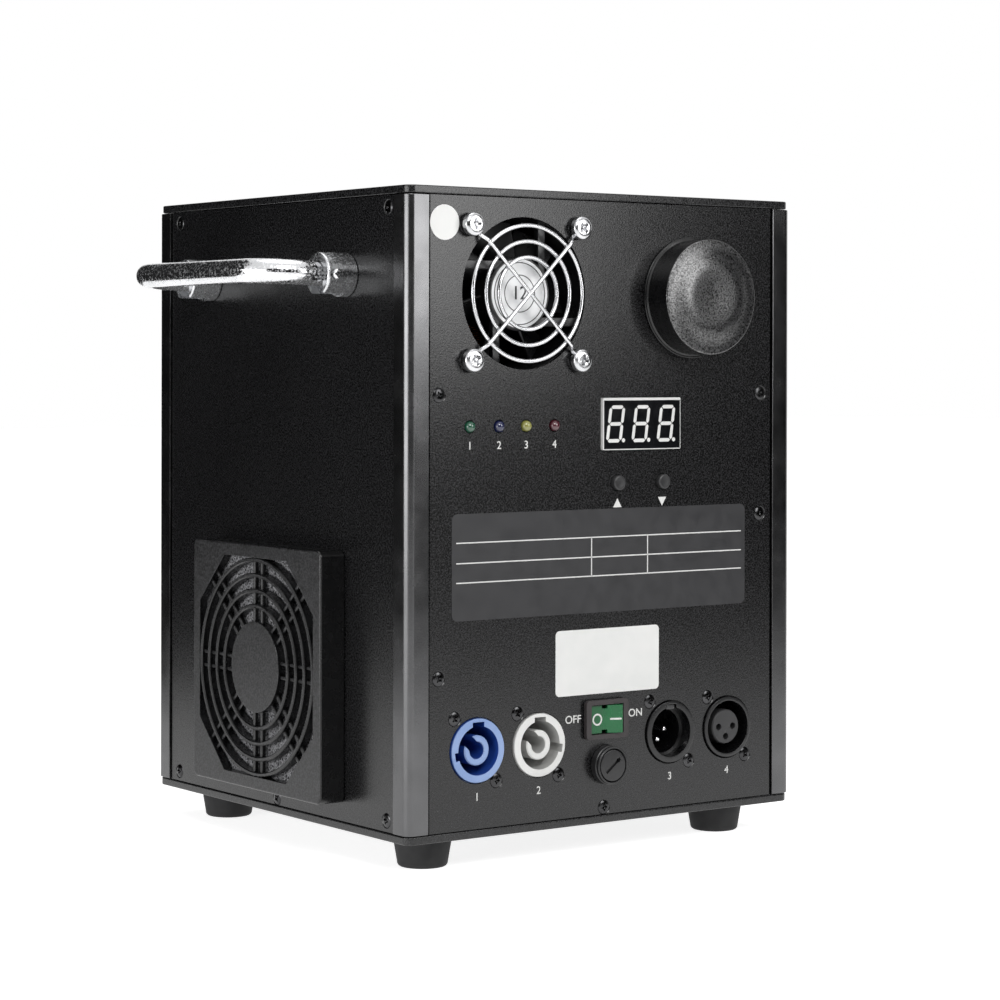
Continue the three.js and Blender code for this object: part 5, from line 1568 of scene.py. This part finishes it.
def makeDataOutlet(s, spot):
    floor, front = -s["depth"] + s["floor"], s["proud"] + 1
    shell = socketBarrel("data_out_socket_shell", s)
    carve(shell, rod("bore", 10.3, floor, front, sides=80))
    soften(shell, 0.3, 3, 50)
    place = onFace("control", *spot)
    finishPiece(shell, finishes["blackNylon"], place, replaced=["data_out_socket"])
    # the bore walls take a darker black: painted shade
    finishWalls(shell, finishes["smoothShadedPlastic"], "control", 0.3, -6.0)
    wide = s["insert"]
    insert = turned("data_out_insert", [(0, floor - 1), (wide, floor - 1), (wide, -1.0),
                                        (wide - 0.4, -0.4), (0, -0.4)], 72)
    for x, y in s["contacts"]:
        carve(insert, rod("hole", 1.3, -10, 2, x, y, 24))
    soften(insert, 0.25, 2, 50)
    finishPiece(insert, finishes["greyInsert"], place)


powerIn, powerOut, dataIn, dataOut = panelHoles["sockets"]
makePowerSocket(socketSettings, "in", 100, ("blueNylon", "shadedBlueNylon"), powerIn)
makePowerSocket(socketSettings, "out", -100, ("whiteNylon", "shadedNylon"), powerOut)
makeDataInlet(socketSettings, dataIn)
makeDataOutlet(socketSettings, dataOut)
print("sockets made")


# nozzle ring in the top plate

nozzleSettings = {
    "radius": 25.0,
    "mouth": 19.0,
    "bore": 13.3,
    "rim": 252.0,
    "flangeTop": 248.7,
    "flangeBottom": 246.7,
    "flange": 30.0,
    "collar": 17.3,
    "collarBottom": 240.7,
}


def makeNozzle(s):
    radius, mouth, bore, rim, low = s["radius"], s["mouth"], s["bore"], s["rim"], s["flangeBottom"]
    ring = turned("nozzle_ring_turned", [
        (bore, s["collarBottom"]), (s["collar"], s["collarBottom"]), (s["collar"], low),
        (s["flange"], low), (s["flange"], s["flangeTop"]), (radius, s["flangeTop"]),
        (radius, rim - 0.4), (radius - 0.4, rim), (mouth + 0.5, rim), (mouth, rim - 0.4),
        (bore + 0.4, low + 0.3), (bore, low - 0.3)], 112)
    finishPiece(ring, finishes["nozzle"], onFace("floor"), replaced=["nozzle_ring"],
                smooth=28)


makeNozzle(nozzleSettings)
print("nozzle made")


# stickers, plates and legends, all bare or plain

legendSettings = {
    "number": 2.9,
    "word": 2.9,
    "wordStretch": 1.05,
    "lampRow": 156.6,
    "socketRow": 27.0,
    "arrowRow": 133.8,
    "arrow": (2.05, 1.7),
}


def makeLegends(s):
    ink = finishes["ink"]
    for row in ("lamp", "socket"):
        for i, (x, _) in enumerate(panelHoles[row + "s"]):
            place = onFace("control", x, s[row + "Row"])
            makeText(f"{row}_number_{i + 1}", str(i + 1), s["number"], place, ink)
    for name, word, x, y in (("switch_off", "OFF", -16.3, 52.3), ("switch_on", "ON", 13.8, 52.8)):
        place = onFace("control", x, y)
        makeText(name, word, s["word"], place, ink, s["wordStretch"])
    half, tall = s["arrow"]
    low, high = printSettings["out"], printSettings["out"] + printSettings["thick"]
    for name, sign, (x, _) in zip(("up_arrow", "down_arrow"), (1, -1), panelHoles["buttons"]):
        arrow = prism(name, [(-half, -tall * sign), (half, -tall * sign), (0, tall * sign)], low, high)
        finishPiece(arrow, ink, onFace("control", x, s["arrowRow"]), smooth=0)


stickerSettings = {
    "thick": 0.12,
    "out": 0.01,
    "round": (-75.9, 238.7, 6.5),
    "plate": (-72.5, 69.0, 92.3, 131.7, 2.5),
    "lines": (121.0, 113.5, 106.3),
    "columns": (-7.7, 19.6),
    "line": 0.45,
    "label": (-24.7, 25.3, 61.4, 86.2, 1.8),
}


def makeStickers(s):
    x, y, radius = s["round"]
    dot = turned("round_sticker", [(0, 0), (radius, 0), (radius, s["thick"]), (0, s["thick"])], 64)
    finishPiece(dot, finishes["whiteVinyl"], onFace("control", x, y, s["out"]))
    for name, key, look in (("data_plate", "plate", "plateVinyl"),
                            ("blank_label", "label", "whiteVinyl")):
        x0, x1, y0, y1, corner = s[key]
        film = prism(name, roundedBox(x1 - x0, y1 - y0, corner, 6), 0, s["thick"])
        place = onFace("control", (x0 + x1) / 2, (y0 + y1) / 2, s["out"])
        finishPiece(film, finishes[look], place)
    x0, x1 = s["plate"][0] + 2, s["plate"][1] - 2
    top = s["thick"] + s["out"]
    half = s["line"] / 2
    parts = [bar("line", x0, x1, y - half, y + half, top - 0.02, top + 0.03) for y in s["lines"]]
    parts += [bar("line", x - half, x + half, s["lines"][2], s["lines"][0], top - 0.02, top + 0.03)
              for x in s["columns"]]
    lines = merge("data_plate_lines", *parts)
    finishPiece(lines, finishes["ink"], onFace("control"), smooth=0)


makeLegends(legendSettings)
makeStickers(stickerSettings)
print("legends made")


# the other nodes keep their mesh and take a finish

nodeFinishes = {
    "intake_fan_frame": "fanPlastic",
    "intake_fan_rotor": "fanPlastic",
    "filter_frame": "filterPlastic",
    "control_board": "board",
    "fuse_link": "brass",
    "hopper": "innerSteel",
    "feed_auger": "innerSteel",
    "feed_motor": "innerSteel",
    "heating_chamber": "innerSteel",
    "induction_coil": "copper",
    "chamber_stand": "innerSteel",
    "spark_impeller": "innerSteel",
    "impeller_motor": "innerSteel",
    "power_supply": "innerSteel",
}

for name, node in nodes.items():
    if name in nodeFinishes:
        node.data.materials.clear()
        node.data.materials.append(finishes[nodeFinishes[name]])
    elif not node.hide_render:
        print("no finish for", name)
print("nodes finished")


# floor, world and lamps

stageSettings = {
    "floor": "#e8e8e8",
    "floorSize": 12,
    "floorGlow": 0.84,
    "world": 0.17,
    "lamps": [
        # name, place, size, watts, what it is aimed at
        ("key_softbox", (-0.7, -1.7, 1.5), (0.9, 0.9), 20.0, (0, 0, 0.12)),
        ("side_softbox", (-1.1, 0.0, 0.22), (1.05, 0.3), 5.4, (-0.09, 0, 0.12)),
        ("corner_softbox", (0.179, -0.525, 0.342), (0.222, 0.296), 1.19, (-0.09, -0.09, 0.24)),
        ("top_softbox", (0.1, 0.2, 1.7), (1.0, 1.0), 8.0, (0, 0, 0.1)),
    ],
    # black cards outside the picture: middle, size and turn in degrees. They keep the left side,
    # the middle of the control side and the flanks of the chrome dark
    "flags": [((-0.27, 0.477, 0.45), (0.94, 0.9), 36.0), ((0.522, -0.507, 0.4), (0.85, 0.8), 36.0),
              ((-0.62, -1.36, 0.4), (2.1, 0.8), -22.0)],
    "flagColour": "#161617",
}


def backgroundRays(tree):
    # 1 where the camera, a reflection or glass looks at the background
    paths = addNode(tree, "ShaderNodeLightPath")
    seen = addNode(tree, "ShaderNodeMath", {"operation": "MAXIMUM"},
                   {0: paths.outputs["Is Camera Ray"], 1: paths.outputs["Is Glossy Ray"]})
    either = addNode(tree, "ShaderNodeMath", {"operation": "MAXIMUM"},
                     {0: seen.outputs["Value"], 1: paths.outputs["Is Transmission Ray"]})
    return either.outputs["Value"]


def makeFlags(s):
    card, _, shader, _ = startMaterial("black_flock_card", Roughness=0.95)
    shader.inputs["Base Color"].default_value = colour(s["flagColour"])
    for i, (middle, size, turn) in enumerate(s["flags"]):
        bpy.ops.object.select_all(action="DESELECT")
        bpy.ops.mesh.primitive_plane_add(size=1, location=middle,
                                         rotation=(math.pi / 2, 0, math.radians(turn)))
        flag = bpy.context.object
        flag.name = f"flag_card_{i + 1}"
        flag.scale = (*size, 1)
        bpy.ops.object.transform_apply(location=True, rotation=True, scale=True)
        flag.data.materials.append(card)
        flag.visible_camera = False     # so that no view from another side looks at its back


def makeStage(s):
    floor = addPiece("floor", bpy.ops.mesh.primitive_plane_add, size=s["floorSize"])
    material, tree, shader, _ = startMaterial("matt_white_paper", Roughness=0.9)
    shader.inputs["Base Color"].default_value = colour(s["floor"])
    glow = addNode(tree, "ShaderNodeMath", {"operation": "MULTIPLY"},
                   {0: backgroundRays(tree), 1: s["floorGlow"]})
    light = addNode(tree, "ShaderNodeEmission", None, {"Strength": glow.outputs["Value"]})
    both = addNode(tree, "ShaderNodeAddShader", None,
                   {0: shader.outputs["BSDF"], 1: light.outputs["Emission"]})
    tree.links.new(both.outputs["Shader"], tree.nodes["Material Output"].inputs["Surface"])
    floor.data.materials.append(material)

    world = bpy.data.worlds.new("studio")
    bpy.context.scene.world = world
    world.use_nodes = True
    tree = world.node_tree
    background = tree.nodes["Background"]
    background.inputs["Color"].default_value = (1, 1, 1, 1)
    level = spanOf(tree, backgroundRays(tree), 0.0, 1.0, s["world"], 1.0)
    tree.links.new(level, background.inputs["Strength"])

    for name, place, size, watts, target in s["lamps"]:
        lamp = bpy.data.lights.new(name, "AREA")
        lamp.shape = "RECTANGLE"
        lamp.size, lamp.size_y = size
        lamp.energy = watts
        item = bpy.data.objects.new(name, lamp)
        bpy.context.scene.collection.objects.link(item)
        item.location = place
        item.rotation_euler = (Vector(target) - Vector(place)).to_track_quat("-Z", "Y").to_euler()


makeStage(stageSettings)
makeFlags(stageSettings)
print("stage made")
